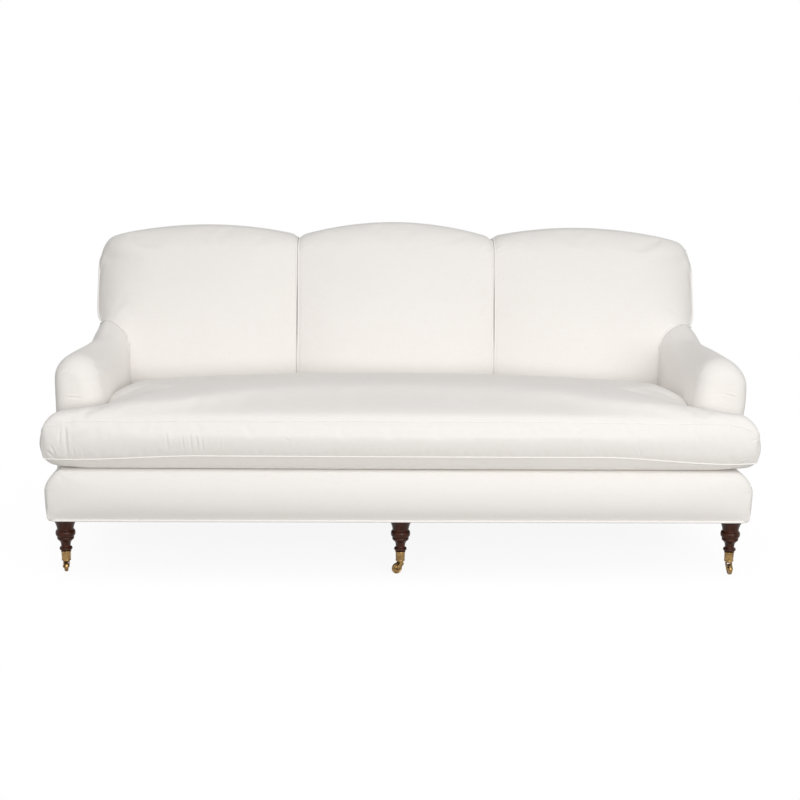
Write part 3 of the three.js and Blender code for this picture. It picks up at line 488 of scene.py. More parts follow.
class SofaStage(bpy.types.PropertyGroup):
    """Camera and lamps."""

    camera_side: bpy.props.FloatProperty(
        name="Camera side", description="Place of the camera along the sofa",
        default=-0.136, unit="LENGTH")
    camera_distance: bpy.props.FloatProperty(
        name="Camera distance", description="Distance of the camera from the base front",
        default=3.7, unit="LENGTH")
    camera_height: bpy.props.FloatProperty(
        name="Camera height", description="Height of the camera above the floor",
        default=1.2, unit="LENGTH")
    yaw: bpy.props.FloatProperty(
        name="Yaw", description="How far the camera turns to the right",
        default=1.985 * DEGREE, unit="ROTATION")
    pitch: bpy.props.FloatProperty(
        name="Pitch", description="How far the camera looks down",
        default=10.713 * DEGREE, unit="ROTATION")
    roll: bpy.props.FloatProperty(
        name="Roll", description="How far the picture is turned clockwise",
        default=0.679 * DEGREE, unit="ROTATION")
    lens: bpy.props.FloatProperty(
        name="Lens", description="Focal length in millimetres on a 36 mm sensor",
        default=63.33)
    key_power: bpy.props.FloatProperty(
        name="Key power", description="Power of the large front lamp in watts", default=80)
    side_power: bpy.props.FloatProperty(
        name="Side power", description="Power of the lamp left of the middle in watts", default=26)
    window_power: bpy.props.FloatProperty(
        name="Window power", description="Power of each small lamp in watts", default=14)
    fill_strength: bpy.props.FloatProperty(
        name="Fill strength", description="Brightness of the room's soft light",
        default=0.60)


class Value:
    """A number in a material. Arithmetic on it adds the nodes that work it out."""

    def __init__(self, recipe, socket):
        self.recipe = recipe
        self.socket = socket

    def _with(self, operation, other, swapped=False):
        pair = (other, self) if swapped else (self, other)
        return self.recipe.math(operation, *pair)

    def __add__(self, other):
        return self._with("ADD", other)

    def __radd__(self, other):
        return self._with("ADD", other, True)

    def __sub__(self, other):
        return self._with("SUBTRACT", other)

    def __rsub__(self, other):
        return self._with("SUBTRACT", other, True)

    def __mul__(self, other):
        return self._with("MULTIPLY", other)

    def __truediv__(self, other):
        return self._with("DIVIDE", other)


class Recipe:
    """The nodes of one material, or of the room around the sofa."""

    def __init__(self, name, for_room=False):
        self.owner = bpy.data.worlds.new(name) if for_room else bpy.data.materials.new(name)
        self.owner.use_nodes = True
        self.tree = self.owner.node_tree
        self.tree.nodes.clear()
        self.output = self.tree.nodes.new(
            "ShaderNodeOutputWorld" if for_room else "ShaderNodeOutputMaterial")

    def node(self, kind, settings=None, inputs=None):
        """Adds a node: settings first, then the values or links of its sockets."""
        made = self.tree.nodes.new(kind)
        for name, value in (settings or {}).items():
            setattr(made, name, value)
        for name, value in (inputs or {}).items():
            self.feed(made.inputs[name], value)
        return made

    def feed(self, socket, value):
        """Links a socket to a value or a node's output, or sets its own number or colour."""
        if isinstance(value, Value):
            value = value.socket
        if isinstance(value, bpy.types.NodeSocket):
            self.tree.links.new(value, socket)
        else:
            socket.default_value = value

    def math(self, operation, *values):
        made = self.node("ShaderNodeMath", {"operation": operation}, dict(enumerate(values)))
        return Value(self, made.outputs[0])

    def clamp(self, value):
        made = self.node("ShaderNodeClamp", {}, {"Value": value})
        return Value(self, made.outputs[0])

    def place(self):
        """The place of a point on its piece, in metres."""
        return self.node("ShaderNodeTexCoord").outputs["Object"]

    def stretched(self, scale, turn=(0, 0, 0)):
        """The place of a point with its axes scaled and turned."""
        made = self.node("ShaderNodeMapping", {}, {
            "Vector": self.place(), "Scale": scale, "Rotation": turn})
        return made.outputs["Vector"]

    def axes(self, vector):
        made = self.node("ShaderNodeSeparateXYZ", {}, {"Vector": vector})
        return [Value(self, made.outputs[name]) for name in ("X", "Y", "Z")]

    def noise(self, vector, scale, detail=3, roughness=0.5, distortion=0):
        made = self.node("ShaderNodeTexNoise", {}, {
            "Vector": vector, "Scale": scale, "Detail": detail,
            "Roughness": roughness, "Distortion": distortion})
        return Value(self, made.outputs[0])

    def blend(self, share, first, second):
        """A colour between two others."""
        made = self.node("ShaderNodeMix", {"data_type": "RGBA"}, {0: share, 6: first, 7: second})
        return made.outputs[2]

    def bump(self, height, distance, strength):
        made = self.node("ShaderNodeBump", {}, {
            "Height": height, "Distance": distance, "Strength": strength})
        return made.outputs["Normal"]

    def surface(self, **inputs):
        """The finished surface. Socket names are given with underscores for spaces."""
        named = {name.replace("_", " "): value for name, value in inputs.items()}
        return self.finished(self.node("ShaderNodeBsdfPrincipled", {}, named))

    def finished(self, shader):
        """Joins the last shader to the output and gives back what the nodes belong to."""
        self.feed(self.output.inputs["Surface"], shader.outputs[0])
        return self.owner


def opaque(colour):
    """A colour that hides what is behind it."""
    return (*colour, 1)


def woven(recipe, pitch):
    """Height of a plain weave, with its threads along all three axes."""
    waves = [recipe.math("SINE", axis * (math.tau / pitch)) for axis in recipe.axes(recipe.place())]
    x, y, z = waves
    return x * z + x * y + y * z


def linen_cover(name, colour, shade, pitch, sheen=0.12):
    """Plain woven linen with slubs along both threads."""
    recipe = Recipe(name)
    weft = recipe.noise(recipe.stretched((30, 160, 420)), 1, 3, 0.6)
    warp = recipe.noise(recipe.stretched((420, 160, 30)), 1, 3, 0.6)
    cloudy = recipe.noise(recipe.place(), 9, 2, 0.5)
    slubs = recipe.clamp((weft + warp - 0.9) * 2.2)
    weave = woven(recipe, pitch)
    tint = recipe.clamp(slubs * 0.55 + cloudy * 0.35 + weave * 0.10)
    height = weave * 0.35 + slubs * 0.8 + recipe.noise(recipe.place(), 900, 2) * 0.5
    return recipe.surface(
        Base_Color=recipe.blend(tint, opaque(colour), opaque(shade)),
        Roughness=recipe.clamp(0.82 + slubs * 0.10),
        Normal=recipe.bump(height, LINEN_RELIEF, 0.55),
        Sheen_Weight=sheen, Sheen_Roughness=0.5, Specular_IOR_Level=0.25)


def walnut_lacquer(timber):
    """Dark walnut with its grain along the leg, under gloss lacquer."""
    recipe = Recipe("walnut_lacquer")
    figure = recipe.noise(recipe.stretched((90, 90, 9)), 1, 6, 0.6, 1.4)
    pores = recipe.noise(recipe.stretched((900, 900, 60)), 1, 2, 0.5)
    grain = recipe.clamp((figure - 0.36) * 3.2)
    wear = recipe.noise(recipe.place(), 45, 4, 0.65)
    return recipe.surface(
        Base_Color=recipe.blend(
            recipe.clamp(grain * 0.85 + pores * 0.15),
            opaque(timber.walnut), opaque(timber.walnut_grain)),
        Roughness=recipe.clamp(0.24 + wear * 0.14),
        Normal=recipe.bump(grain * 0.5 + pores * 0.35, LACQUER_RELIEF, 0.35),
        Coat_Weight=0.14, Coat_Roughness=0.06, Specular_IOR_Level=0.1)


def aged_brass(brass):
    """Brass that is bright in some patches and tarnished brown in others, spread at random."""
    recipe = Recipe("aged_brass")
    patches = recipe.noise(recipe.place(), 55, 5, 0.65, 0.6)
    scratches = recipe.noise(recipe.stretched((260, 900, 260), (0.3, 0.2, 0.9)), 1, 3, 0.7)
    dark = recipe.clamp((patches - 0.42) * 4.5)
    return recipe.surface(
        Base_Color=recipe.blend(dark * 0.85, opaque(brass.brass), opaque(brass.tarnish)),
        Metallic=1.0,
        Roughness=recipe.clamp(0.20 + dark * 0.28 + scratches * 0.10),
        Normal=recipe.bump(patches * 0.7 + scratches * 0.3, BRASS_RELIEF, 0.35))


def sawn_beech(timber):
    """Unfinished beech with short flecks and saw marks."""
    recipe = Recipe("sawn_beech")
    grain = recipe.noise(recipe.stretched((6, 70, 70)), 1, 5, 0.6, 0.8)
    flecks = recipe.noise(recipe.stretched((120, 900, 900)), 1, 2)
    marks = recipe.math("SINE", recipe.axes(recipe.place())[0] * 1400)
    dark = [share * 0.62 for share in timber.beech]
    return recipe.surface(
        Base_Color=recipe.blend(
            recipe.clamp(grain * 0.7 + flecks * 0.2), opaque(timber.beech), opaque(dark)),
        Roughness=recipe.clamp(0.6 + flecks * 0.2),
        Normal=recipe.bump(grain * 0.6 + marks * 0.2 + flecks * 0.3, BEECH_RELIEF, 0.5))


def spring_wire():
    """Drawn steel wire with a thin oil film."""
    recipe = Recipe("spring_wire")
    streaks = recipe.noise(recipe.stretched((400, 400, 60)), 1, 3)
    rust = recipe.clamp((recipe.noise(recipe.place(), 35, 4, 0.6) - 0.56) * 6)
    return recipe.surface(
        Base_Color=recipe.blend(rust, (0.46, 0.47, 0.49, 1), (0.20, 0.10, 0.05, 1)),
        Metallic=1.0 - rust * 0.7,
        Roughness=recipe.clamp(0.3 + streaks * 0.2 + rust * 0.3),
        Normal=recipe.bump(streaks, WIRE_RELIEF, 0.4))


def jute_strap():
    """Coarse jute in a plain weave, with flecks of fibre."""
    recipe = Recipe("jute_strap")
    weave = woven(recipe, JUTE_PITCH)
    fibre = recipe.noise(recipe.place(), 700, 3, 0.7)
    return recipe.surface(
        Base_Color=recipe.blend(
            recipe.clamp(fibre * 0.7 + weave * 0.2), (0.52, 0.40, 0.24, 1), (0.30, 0.21, 0.11, 1)),
        Roughness=0.95,
        Normal=recipe.bump(weave * 0.6 + fibre * 0.6, JUTE_RELIEF, 0.8))


def black_cambric():
    """Thin black dust cloth."""
    recipe = Recipe("black_cambric")
    weave = woven(recipe, CAMBRIC_PITCH)
    lint = recipe.clamp((recipe.noise(recipe.place(), 60, 5, 0.7) - 0.55) * 3)
    return recipe.surface(
        Base_Color=recipe.blend(lint * 0.5, (0.018, 0.018, 0.020, 1), (0.06, 0.058, 0.055, 1)),
        Roughness=0.93,
        Normal=recipe.bump(weave * 0.5 + lint * 0.3, CAMBRIC_RELIEF, 0.6),
        Sheen_Weight=0.2)


def material(name):
    """A finish of this sofa by name, made when it is first asked for."""
    found = bpy.data.materials.get(name)
    if found:
        return found
    scene = bpy.context.scene
    fabric, timber, brass = scene.sofa_fabric, scene.sofa_timber, scene.sofa_brass
    makers = {
        "ivory_linen": lambda: linen_cover(
            "ivory_linen", fabric.linen, fabric.linen_shade, fabric.thread_pitch),
        # The piping finish is the same linen painted lighter, a painted highlight on the piping and the
        # pleats.
        "piping_linen": lambda: linen_cover(
            "piping_linen", fabric.piping, fabric.linen, fabric.thread_pitch, 0.2),
        "deck_linen": lambda: linen_cover(
            "deck_linen", fabric.linen_shade, fabric.linen_shade, fabric.thread_pitch * 1.6),
        "walnut_lacquer": lambda: walnut_lacquer(timber),
        "aged_brass": lambda: aged_brass(brass),
        "sawn_beech": lambda: sawn_beech(timber),
        "spring_wire": spring_wire,
        "jute_strap": jute_strap,
        "black_cambric": black_cambric,
    }
    return makers[name]()


def ease(value, low, high):
    """A share that eases from 0 to 1 between two values."""
    share = np.clip((value - low) / (high - low), 0, 1)
    return share * share * (3 - 2 * share)


def fading(value, start, width):
    """A share that falls evenly from 1 to 0 over a width, from a start."""
    return 1 - np.clip((value - start) / width, 0, 1)


def blend_between(first, second, share):
    """The value that lies a share of the way from one to another."""
    return first + (second - first) * share


def add_piece(name, bm, finish, body, slot):
    """Makes a piece of the sofa from a bmesh, with its finish, body and slot."""
    mesh = bpy.data.meshes.new(name)
    bm.to_mesh(mesh)
    bm.free()
    piece = bpy.data.objects.new(name, mesh)
    bpy.context.scene.collection.objects.link(piece)
    mesh.materials.append(material(finish))
    mesh.shade_smooth()
    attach(piece, body)
    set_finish(piece, slot)
    return piece


def read_triples(items, name):
    """Three numbers of each item of a mesh, as rows."""
    flat = np.empty(len(items) * 3)
    items.foreach_get(name, flat)
    return flat.reshape(-1, 3)


def points_of(mesh):
    return read_triples(mesh.vertices, "co")


def normals_of(mesh):
    return read_triples(mesh.vertex_normals, "vector")


def set_points(mesh, points):
    mesh.vertices.foreach_set("co", points.ravel())
    mesh.update()


def baked_modifiers(piece):
    """Replaces a piece's mesh with what its modifiers make of it."""
    graph = bpy.context.evaluated_depsgraph_get()
    mesh = bpy.data.meshes.new_from_object(piece.evaluated_get(graph))
    piece.modifiers.clear()
    old = piece.data
    piece.data = mesh
    bpy.data.meshes.remove(old)
    mesh.name = piece.name
    mesh.shade_smooth()


def remeshed(piece, size):
    """Gives a closed piece even square faces."""
    remesh = piece.modifiers.new("even", "REMESH")
    remesh.mode = "VOXEL"
    remesh.voxel_size = size
    baked_modifiers(piece)


def softened(piece, rounds):
    """Rounds off what is sharper than the cover would be."""
    bm = bmesh.new()
    bm.from_mesh(piece.data)
    for _ in range(rounds):
        bmesh.ops.smooth_vert(
            bm, verts=bm.verts, factor=0.5, use_axis_x=True, use_axis_y=True, use_axis_z=True)
    bm.to_mesh(piece.data)
    bm.free()


def refined(piece):
    """Splits each face into four along a smooth surface."""
    subdivision = piece.modifiers.new("fine", "SUBSURF")
    subdivision.levels = 1
    subdivision.render_levels = 1
    baked_modifiers(piece)


def swell(piece, held, pressure, reach, slack):
    """Pushes the cover out like a filled cushion, except where it is sewn or rests on something."""
    scene = bpy.context.scene
    start = points_of(piece.data)
    weights = np.round(np.clip(held(start), 0, 1), 1)
    group = piece.vertex_groups.new(name="held")
    for weight in np.unique(weights):
        if weight > 0:
            group.add(np.flatnonzero(weights == weight).tolist(), float(weight), "REPLACE")
    cloth = piece.modifiers.new("cover", "CLOTH")
    settings = cloth.settings
    settings.quality = 6
    settings.mass = 0.3
    settings.tension_stiffness = 20
    settings.compression_stiffness = 20
    settings.shear_stiffness = 8
    settings.bending_stiffness = 0.6
    settings.use_pressure = True
    settings.uniform_pressure_force = pressure
    settings.vertex_group_mass = group.name
    settings.shrink_min = -slack
    settings.effector_weights.gravity = 0
    cloth.collision_settings.use_collision = False
    for step in range(1, CLOTH_FRAMES + 1):
        scene.frame_set(step)
    baked_modifiers(piece)
    scene.frame_set(1)
    moved = points_of(piece.data) - start
    length = np.linalg.norm(moved, axis=1, keepdims=True)
    set_points(piece.data, start + moved * np.minimum(1, reach / np.maximum(length, 1e-9)))
    piece.vertex_groups.clear()


def tree_of(piece):
    """A search tree over the final surface of a piece."""
    return BVHTree.FromPolygons(
        [vertex.co for vertex in piece.data.vertices],
        [tuple(face.vertices) for face in piece.data.polygons])


def laid_on(points, tree, lift):
    """Moves each point of a path to the nearest place on a surface, then out by a lift."""
    laid = []
    for point in points:
        place, normal, _, _ = tree.find_nearest(point)
        laid.append(place + normal * lift)
    return laid


def evenly_spaced(points, spacing, closed=False):
    """The same path with its points a set distance apart."""
    path = np.array([tuple(point) for point in points])
    if closed:
        path = np.vstack([path, path[:1]])
    lengths = np.concatenate([[0], np.cumsum(np.linalg.norm(np.diff(path, axis=0), axis=1))])
    count = max(4, round(lengths[-1] / spacing))
    marks = np.linspace(0, lengths[-1], count + 1)
    made = np.stack([np.interp(marks, lengths, path[:, axis]) for axis in range(3)], axis=1)
    return made[:-1] if closed else made


def relaxed(path, rounds, closed=False):
    """Takes the small kinks out of a path."""
    path = np.array(path)
    for _ in range(rounds):
        if closed:
            path = (np.roll(path, 1, axis=0) + 2 * path + np.roll(path, -1, axis=0)) / 4
        else:
            path[1:-1] = (path[:-2] + 2 * path[1:-1] + path[2:]) / 4
    return path


def sheet_of(columns, rows, place):
    """A sheet of quads, each corner put in its place by its column and row."""
    bm = bmesh.new()
    bmesh.ops.create_grid(bm, x_segments=columns, y_segments=rows, size=0.5)
    for vertex in bm.verts:
        column = round((vertex.co.x + 0.5) * columns)
        row = round((vertex.co.y + 0.5) * rows)
        vertex.co = place(column, row)
    return bm


def closed_up(bm):
    """Joins the seams of a shape, fills its ends and turns its faces out."""
    bmesh.ops.remove_doubles(bm, verts=bm.verts, dist=WELD)
    rims = [edge for edge in bm.edges if edge.is_boundary]
    if rims:
        caps = bmesh.ops.holes_fill(bm, edges=rims, sides=0)["faces"]
        bmesh.ops.triangulate(bm, faces=caps)
    bmesh.ops.recalc_face_normals(bm, faces=bm.faces)
    return bm


def joined(*parts):
    """Puts shapes together as one."""
    whole = bmesh.new()
    for part in parts:
        held = bpy.data.meshes.new("part")
        part.to_mesh(held)
        part.free()
        whole.from_mesh(held)
        bpy.data.meshes.remove(held)
    return whole


def lofted(rings, front=None):
    """A closed shape through rings of equal length, with its own sheet for the front where given."""
    count = len(rings[0])
    sides = sheet_of(len(rings) - 1, count, lambda column, row: rings[column][row % count])
    return closed_up(joined(sides, front) if front else sides)


def tube(path, radius, closed=False, sides=10, taper=0.0):
    """A round tube along a path; taper is the length over which its ends thin out."""
    path = np.array([tuple(point) for point in path])
    if closed:
        path = np.vstack([path, path[:1]])
    step = np.gradient(path, axis=0)
    if closed:
        step[0] = step[-1] = path[1] - path[-2]
    heading = step / np.linalg.norm(step, axis=1, keepdims=True)
    side = np.cross(heading[0], (0.31, 0.52, 0.79))
    rings = []
    lengths = np.concatenate([[0], np.cumsum(np.linalg.norm(np.diff(path, axis=0), axis=1))])
    for at, centre in enumerate(path):
        side = side - heading[at] * side.dot(heading[at])
        side = side / np.linalg.norm(side)
        other = np.cross(heading[at], side)
        end = min(lengths[at], lengths[-1] - lengths[at])
        size = radius * (min(1, (end / taper) ** 0.5 + 0.05) if taper else 1)
        angles = np.arange(sides) * math.tau / sides
        rings.append([
            centre + size * (side * math.cos(angle) + other * math.sin(angle)) for angle in angles])
    if closed:
        first = np.array(rings[0])
        last = np.array(rings[-1])
        turns = [np.linalg.norm(np.roll(first, turn, axis=0) - last) for turn in range(sides)]
        rings[-1] = np.roll(first, int(np.argmin(turns)), axis=0)
    return lofted(rings)


def piping(name, paths, body, thickness_share=1.0, taper=0.0):
    """Sewn piping as one piece: each path is its points and whether it closes on itself."""
    radius = bpy.context.scene.sofa_fabric.piping_diameter / 2 * thickness_share
    parts = []
    for path, closed in paths:
        smooth = relaxed(evenly_spaced(path, 2.4 * radius, closed), 3, closed)
        parts.append(tube(smooth, radius, closed, taper=taper))
    # Every tube made here, the pleats too, takes the lighter piping linen, a painted highlight that
    # makes it read brighter.
    return add_piece(name, joined(*parts), "piping_linen", body, "linen")


def creased(piece, creases):
    """Presses narrow folds into the front of a cover, on a finer mesh where they lie."""
    bm = bmesh.new()
    bm.from_mesh(piece.data)
    near = set()
    for start, end, _, width in creases:
        low = np.minimum(start, end) - 2.5 * width
        high = np.maximum(start, end) + 2.5 * width
        near.update(
            face for face in bm.faces
            if face.normal.y < -0.3
            and low[0] < face.calc_center_median().x < high[0]
            and low[1] < face.calc_center_median().z < high[1])
    edges = {edge for face in near for edge in face.edges}
    bmesh.ops.subdivide_edges(bm, edges=list(edges), cuts=2, use_grid_fill=True)
    bm.to_mesh(piece.data)
    bm.free()
    points = points_of(piece.data)
    normals = normals_of(piece.data)
    flat = points[:, [0, 2]]
    depth = np.zeros(len(points))
    for start, end, size, width in creases:
        start, end = np.array(start), np.array(end)
        along = end - start
        share = np.clip((flat - start) @ along / (along @ along), 0, 1)
        distance = np.linalg.norm(flat - start - share[:, None] * along, axis=1)
        side = np.sign((flat - start) @ np.array([-along[1], along[0]]))
        fade = np.sin(math.pi * np.clip(share, 0.04, 0.96)) ** 0.8
        groove = np.exp(-(distance / (0.5 * width)) ** 2)
        ridge = np.exp(-((distance - 0.9 * width) / (0.6 * width)) ** 2)
        depth += 0.8 * size * fade * (0.55 * ridge * (0.65 + 0.35 * side) - groove)
    fronted = np.clip(-normals[:, 1], 0, 1)
    set_points(piece.data, points + normals * (depth * fronted)[:, None])


def padded_piece(name, bm, node, held, reach, slack=0.0, body="frame", shape=None):
    """An upholstered piece: its shape, its filling and a finer surface."""
    fabric = bpy.context.scene.sofa_fabric
    piece = add_piece(name, bm, "ivory_linen", body, "linen")
    if shape:
        remeshed(piece, fabric.mesh_size)
        set_points(piece.data, shape(points_of(piece.data)))
        softened(piece, 2)
    swell(piece, held, fabric.pressure, reach, slack)
    refined(piece)
    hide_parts(node)
    return piece


def mirrored_piece(piece, name, reshape=None):
    """The left-hand copy of a right-hand piece, its width reshaped where asked."""
    bm = bmesh.new()
    bm.from_mesh(piece.data)
    if reshape:
        for vertex in bm.verts:
            vertex.co.x = reshape(vertex.co.x)
    bmesh.ops.scale(bm, vec=(-1, 1, 1), verts=bm.verts)
    bmesh.ops.recalc_face_normals(bm, faces=bm.faces)
    return add_piece(name, bm, piece.data.materials[0].name, piece["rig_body"], piece["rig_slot"])


def rear_plane(z):
    """Depth of the back's rear face at a level."""
    return REAR_FOOT + REAR_RAKE * (z - RAIL_UNDERSIDE)


def pad_plane(z):
    """Depth of the lobes' front at a level, before they bulge."""
    return PAD_FRONT + PAD_RAKE * (z - PAD_FRONT_LEVEL)


# Seat cushion

def cushion_edge(x, y):
    """How far inside the cushion's T-shaped outline a place is."""
    body_half = ARM_INNER - CUSHION_CLEARANCE
    ears = np.minimum(np.minimum(y - CUSHION_FRONT, EAR_REAR - y), CUSHION_HALF - np.abs(x))
    middle = np.minimum(np.minimum(y - CUSHION_FRONT, CUSHION_REAR - y), body_half - np.abs(x))
    return np.maximum(ears, middle)


def end_nearness(x, width=END_WIDTH):
    """A share that rises from 0 to 1 over the last stretch of the cushion before its ends."""
    return 1 - np.clip((CUSHION_HALF - np.abs(x)) / width, 0, 1)


def cushion_levels(x, y):
    """Lower and upper level of the cushion's cover at a place."""
    edge = np.maximum(cushion_edge(x, y), 0)
    depth = CUSHION_REAR - CUSHION_FRONT
    along = np.clip((y - CUSHION_FRONT) / depth, 0, 1)
    across = np.clip(np.abs(x) / CUSHION_HALF, 0, 1)
    crown = (1 - across ** 2.8) * (1 - np.abs(2 * along - 1) ** 3)
    welt = TOP_WELT - END_DROOP * across ** 2 - REAR_DROOP * along ** 2
    near = 1 - np.clip(edge / ROLL_WIDTH, 0, 1)
    beside_arm = ease(y, EAR_REAR, EAR_REAR + ROLL_WIDTH)
    shoulder = np.where(x > 0, END_SHOULDER_RIGHT, END_SHOULDER_LEFT)
    sag = shoulder * end_nearness(x) ** 2
    fall = shoulder * end_nearness(x, END_FALL_WIDTH) ** 2
    open_edge = np.minimum(y - CUSHION_FRONT, CUSHION_HALF - np.abs(x))
    roll = np.sqrt(1 - (1 - np.clip(open_edge / ROLL_WIDTH, 0, 1)) ** 2)
    upper = (
        welt - sag + roll * (ROLL_RISE + sag - fall) + (CUSHION_CREST - TOP_WELT - ROLL_RISE) * crown
        - REAR_FALL * ease(along, 0.4, 1) * (0.3 + 0.7 * across ** 1.5)
        - ARM_TUCK * beside_arm * near ** 2 - ear_tuck(x, y))
    rolled = 1 - np.clip(edge / UNDERSIDE_ROLL, 0, 1)
    lift = END_LIFT * end_nearness(x) * (1 - rolled ** 2)
    lower = blend_between(DECK + CLEARANCE + lift, bottom_welt(x), rolled ** 1.8)
    return lower, upper


def bottom_welt(x):
    """Level of the cushion's lower seam, which droops towards the ends and turns up at them."""
    towards_end = ease(np.abs(x) / CUSHION_HALF, 0.55, 0.92)
    droop = np.where(x > 0, BOTTOM_DROOP_RIGHT, BOTTOM_DROOP_LEFT) * towards_end
    return BOTTOM_WELT - droop + END_CURL * end_nearness(x, END_FALL_WIDTH) ** 2


def ear_tuck(x, y):
    """How far the cushion's ears go down towards the arm fronts behind them."""
    near_arm = 1 - np.clip(np.abs(EAR_REAR - y) / EAR_TUCK_WIDTH, 0, 1)
    over_ear = ease(np.abs(x), EAR_TUCK_FROM, EAR_TUCK_TO)
    return EAR_TUCK * near_arm ** 1.5 * over_ear * (1 - 0.35 * end_nearness(x))


def cushion_outline():
    """The cushion's plan outline, from its right front corner round to it again."""
    body_half = ARM_INNER - CUSHION_CLEARANCE
    corners = [
        (CUSHION_HALF, CUSHION_FRONT, CORNER_RADIUS),
        (CUSHION_HALF, EAR_REAR, EAR_RADIUS),
        (body_half, EAR_REAR, INNER_RADIUS),
        (body_half, CUSHION_REAR, REAR_RADIUS),
    ]
    corners += [(-x, y, radius) for x, y, radius in reversed(corners)]
    path = []
    for at, (x, y, radius) in enumerate(corners):
        corner = Vector((x, y))
        before = (Vector(corners[at - 1][:2]) - corner).normalized()
        after = (Vector(corners[(at + 1) % len(corners)][:2]) - corner).normalized()
        centre = corner + (before + after) * radius
        for turn in range(7):
            angle = turn / 6 * math.pi / 2
            path.append(centre - after * radius * math.cos(angle) - before * radius * math.sin(angle))
    return evenly_spaced([(*point, 0) for point in path], OUTLINE_STEP, True)


def bow(x, y):
    """How far the ends of the cushion's front sit back from its middle."""
    near_front = 1 - np.clip((y - CUSHION_FRONT) / (EAR_REAR - FRONT), 0, 1)
    return FRONT_BOW * (x / CUSHION_HALF) ** 2 * near_front


def rounded_block(low, high, corner_radii):
    """A block whose upright edges are rounded, by the quadrant that each stands in."""
    bm = bmesh.new()
    bmesh.ops.create_cube(bm, size=1)
    low, high = Vector(low), Vector(high)
    for vertex in bm.verts:
        vertex.co = (low + high) / 2 + vertex.co * (high - low)
    uprights = [edge for edge in bm.edges if abs((edge.verts[0].co - edge.verts[1].co).z) > WELD]
    middle = (low.y + high.y) / 2
    for edge_is_front, radius in zip((True, False), corner_radii):
        edges = [
            edge for edge in uprights
            if edge.is_valid and (edge.verts[0].co.y < middle) == edge_is_front]
        bmesh.ops.bevel(
            bm, geom=edges, offset=radius, offset_type="OFFSET", affect="EDGES",
            segments=6, profile=0.5, material=-1)
    return bm


def shaped_cushion(points):
    """Moves the points of the flat T-shaped slab to the crowned cushion."""
    x, y, z = points.T
    share = np.clip((z - BOTTOM_WELT) / (TOP_WELT - BOTTOM_WELT), 0, 1)
    lower, upper = cushion_levels(x, y)
    edge = cushion_edge(x, y)
    side = 1 - np.clip(edge / blend_between(UNDERSIDE_ROLL, SIDE_WIDTH, share), 0, 1)
    bulge = 4 * share * (1 - share) * side
    outward = np.stack([
        cushion_edge(x - PROBE, y) - cushion_edge(x + PROBE, y),
        cushion_edge(x, y - PROBE) - cushion_edge(x, y + PROBE)], axis=1)
    outward /= np.maximum(np.linalg.norm(outward, axis=1, keepdims=True), 1e-9)
    beside_arm = ease(y, EAR_REAR, EAR_REAR + ROLL_WIDTH) * (y < CUSHION_REAR - ROLL_WIDTH)
    under = FRONT_ROLL_UNDER * np.clip(-outward[:, 1], 0, 1) * (1 - share) ** 2
    drawn = (BOXING_BULGE * (1 - bulge) + under) * side * (1 - beside_arm)
    pressed = (CUSHION_CLEARANCE - CLEARANCE) * side * beside_arm
    placed = np.stack([x, y + bow(x, y), blend_between(lower, upper, share)], axis=1)
    placed[:, :2] -= outward * (drawn - pressed)[:, None]
    placed[:, 0] += END_RIGHT_FULLER * ease(x, CUSHION_HALF - END_WIDTH, CUSHION_HALF)
    return placed


def welt_path(level_share):
    """The line of the cushion's upper or lower seam."""
    outline = cushion_outline()
    flat = outline.copy()
    flat[:, 2] = blend_between(BOTTOM_WELT, TOP_WELT, level_share)
    inside = flat.copy()
    centre = np.array([0, (CUSHION_FRONT + CUSHION_REAR) / 2])
    inside[:, :2] += (centre - inside[:, :2]) * 1e-4
    return shaped_cushion(inside)


def cushion_held(points):
    """The cushion's cover is held at both seams, low on its wall and where it rests on the deck."""
    x, y, z = points.T
    _, upper = cushion_levels(x, y)
    near_edge = fading(cushion_edge(x, y), *CUSHION_EDGE_HOLD)
    at_top = fading(np.abs(z - upper), *CUSHION_TOP_HOLD)
    underneath = fading(z - bottom_welt(x), *CUSHION_UNDER_HOLD)
    beside_arm = (y > EAR_REAR) * fading(cushion_edge(x, y), *CUSHION_SIDE_HOLD)
    wall = 1 - ease(z, BOTTOM_WELT + WALL_HEIGHT / 2, BOTTOM_WELT + WALL_HEIGHT)
    low_wall = WALL_HOLD_SHARE * near_edge * wall
    return np.max([near_edge * at_top * CUSHION_TOP_SHARE, underneath, beside_arm, low_wall], axis=0)


class SOFA_OT_seat_cushion(bpy.types.Operator):
    """Build the T-shaped seat cushion with its two rows of piping"""

    bl_idname = "sofa.seat_cushion"
    bl_label = "Seat Cushion"

    def execute(self, context):
        body_half = ARM_INNER - CUSHION_CLEARANCE
        ears = rounded_block(
            (-CUSHION_HALF, CUSHION_FRONT, BOTTOM_WELT), (CUSHION_HALF, EAR_REAR, TOP_WELT),
            (CORNER_RADIUS, EAR_RADIUS))
        middle = rounded_block(
            (-body_half, CUSHION_FRONT + ROLL_WIDTH, BOTTOM_WELT), (body_half, CUSHION_REAR, TOP_WELT),
            (SLAB_RADIUS, REAR_RADIUS))
        cushion = padded_piece(
            "seat_cushion_cover", joined(ears, middle), "seat_cushion", cushion_held, CUSHION_REACH,
            CUSHION_SLACK_SHARE, "seat_cushion", shaped_cushion)
        creased(cushion, CUSHION_CREASES)
        tree = tree_of(cushion)
        for name, level_share, thickness_share, lift in (
                ("upper", 1.0, 0.5, 0), ("lower", 0.0, 0.75, PIPING_LIFT)):
            path = laid_on([Vector(point) for point in welt_path(level_share)], tree, lift)
            piping(f"seat_cushion_piping_{name}", [(path, True)], "seat_cushion", thickness_share)
        return {"FINISHED"}


# Back lobes

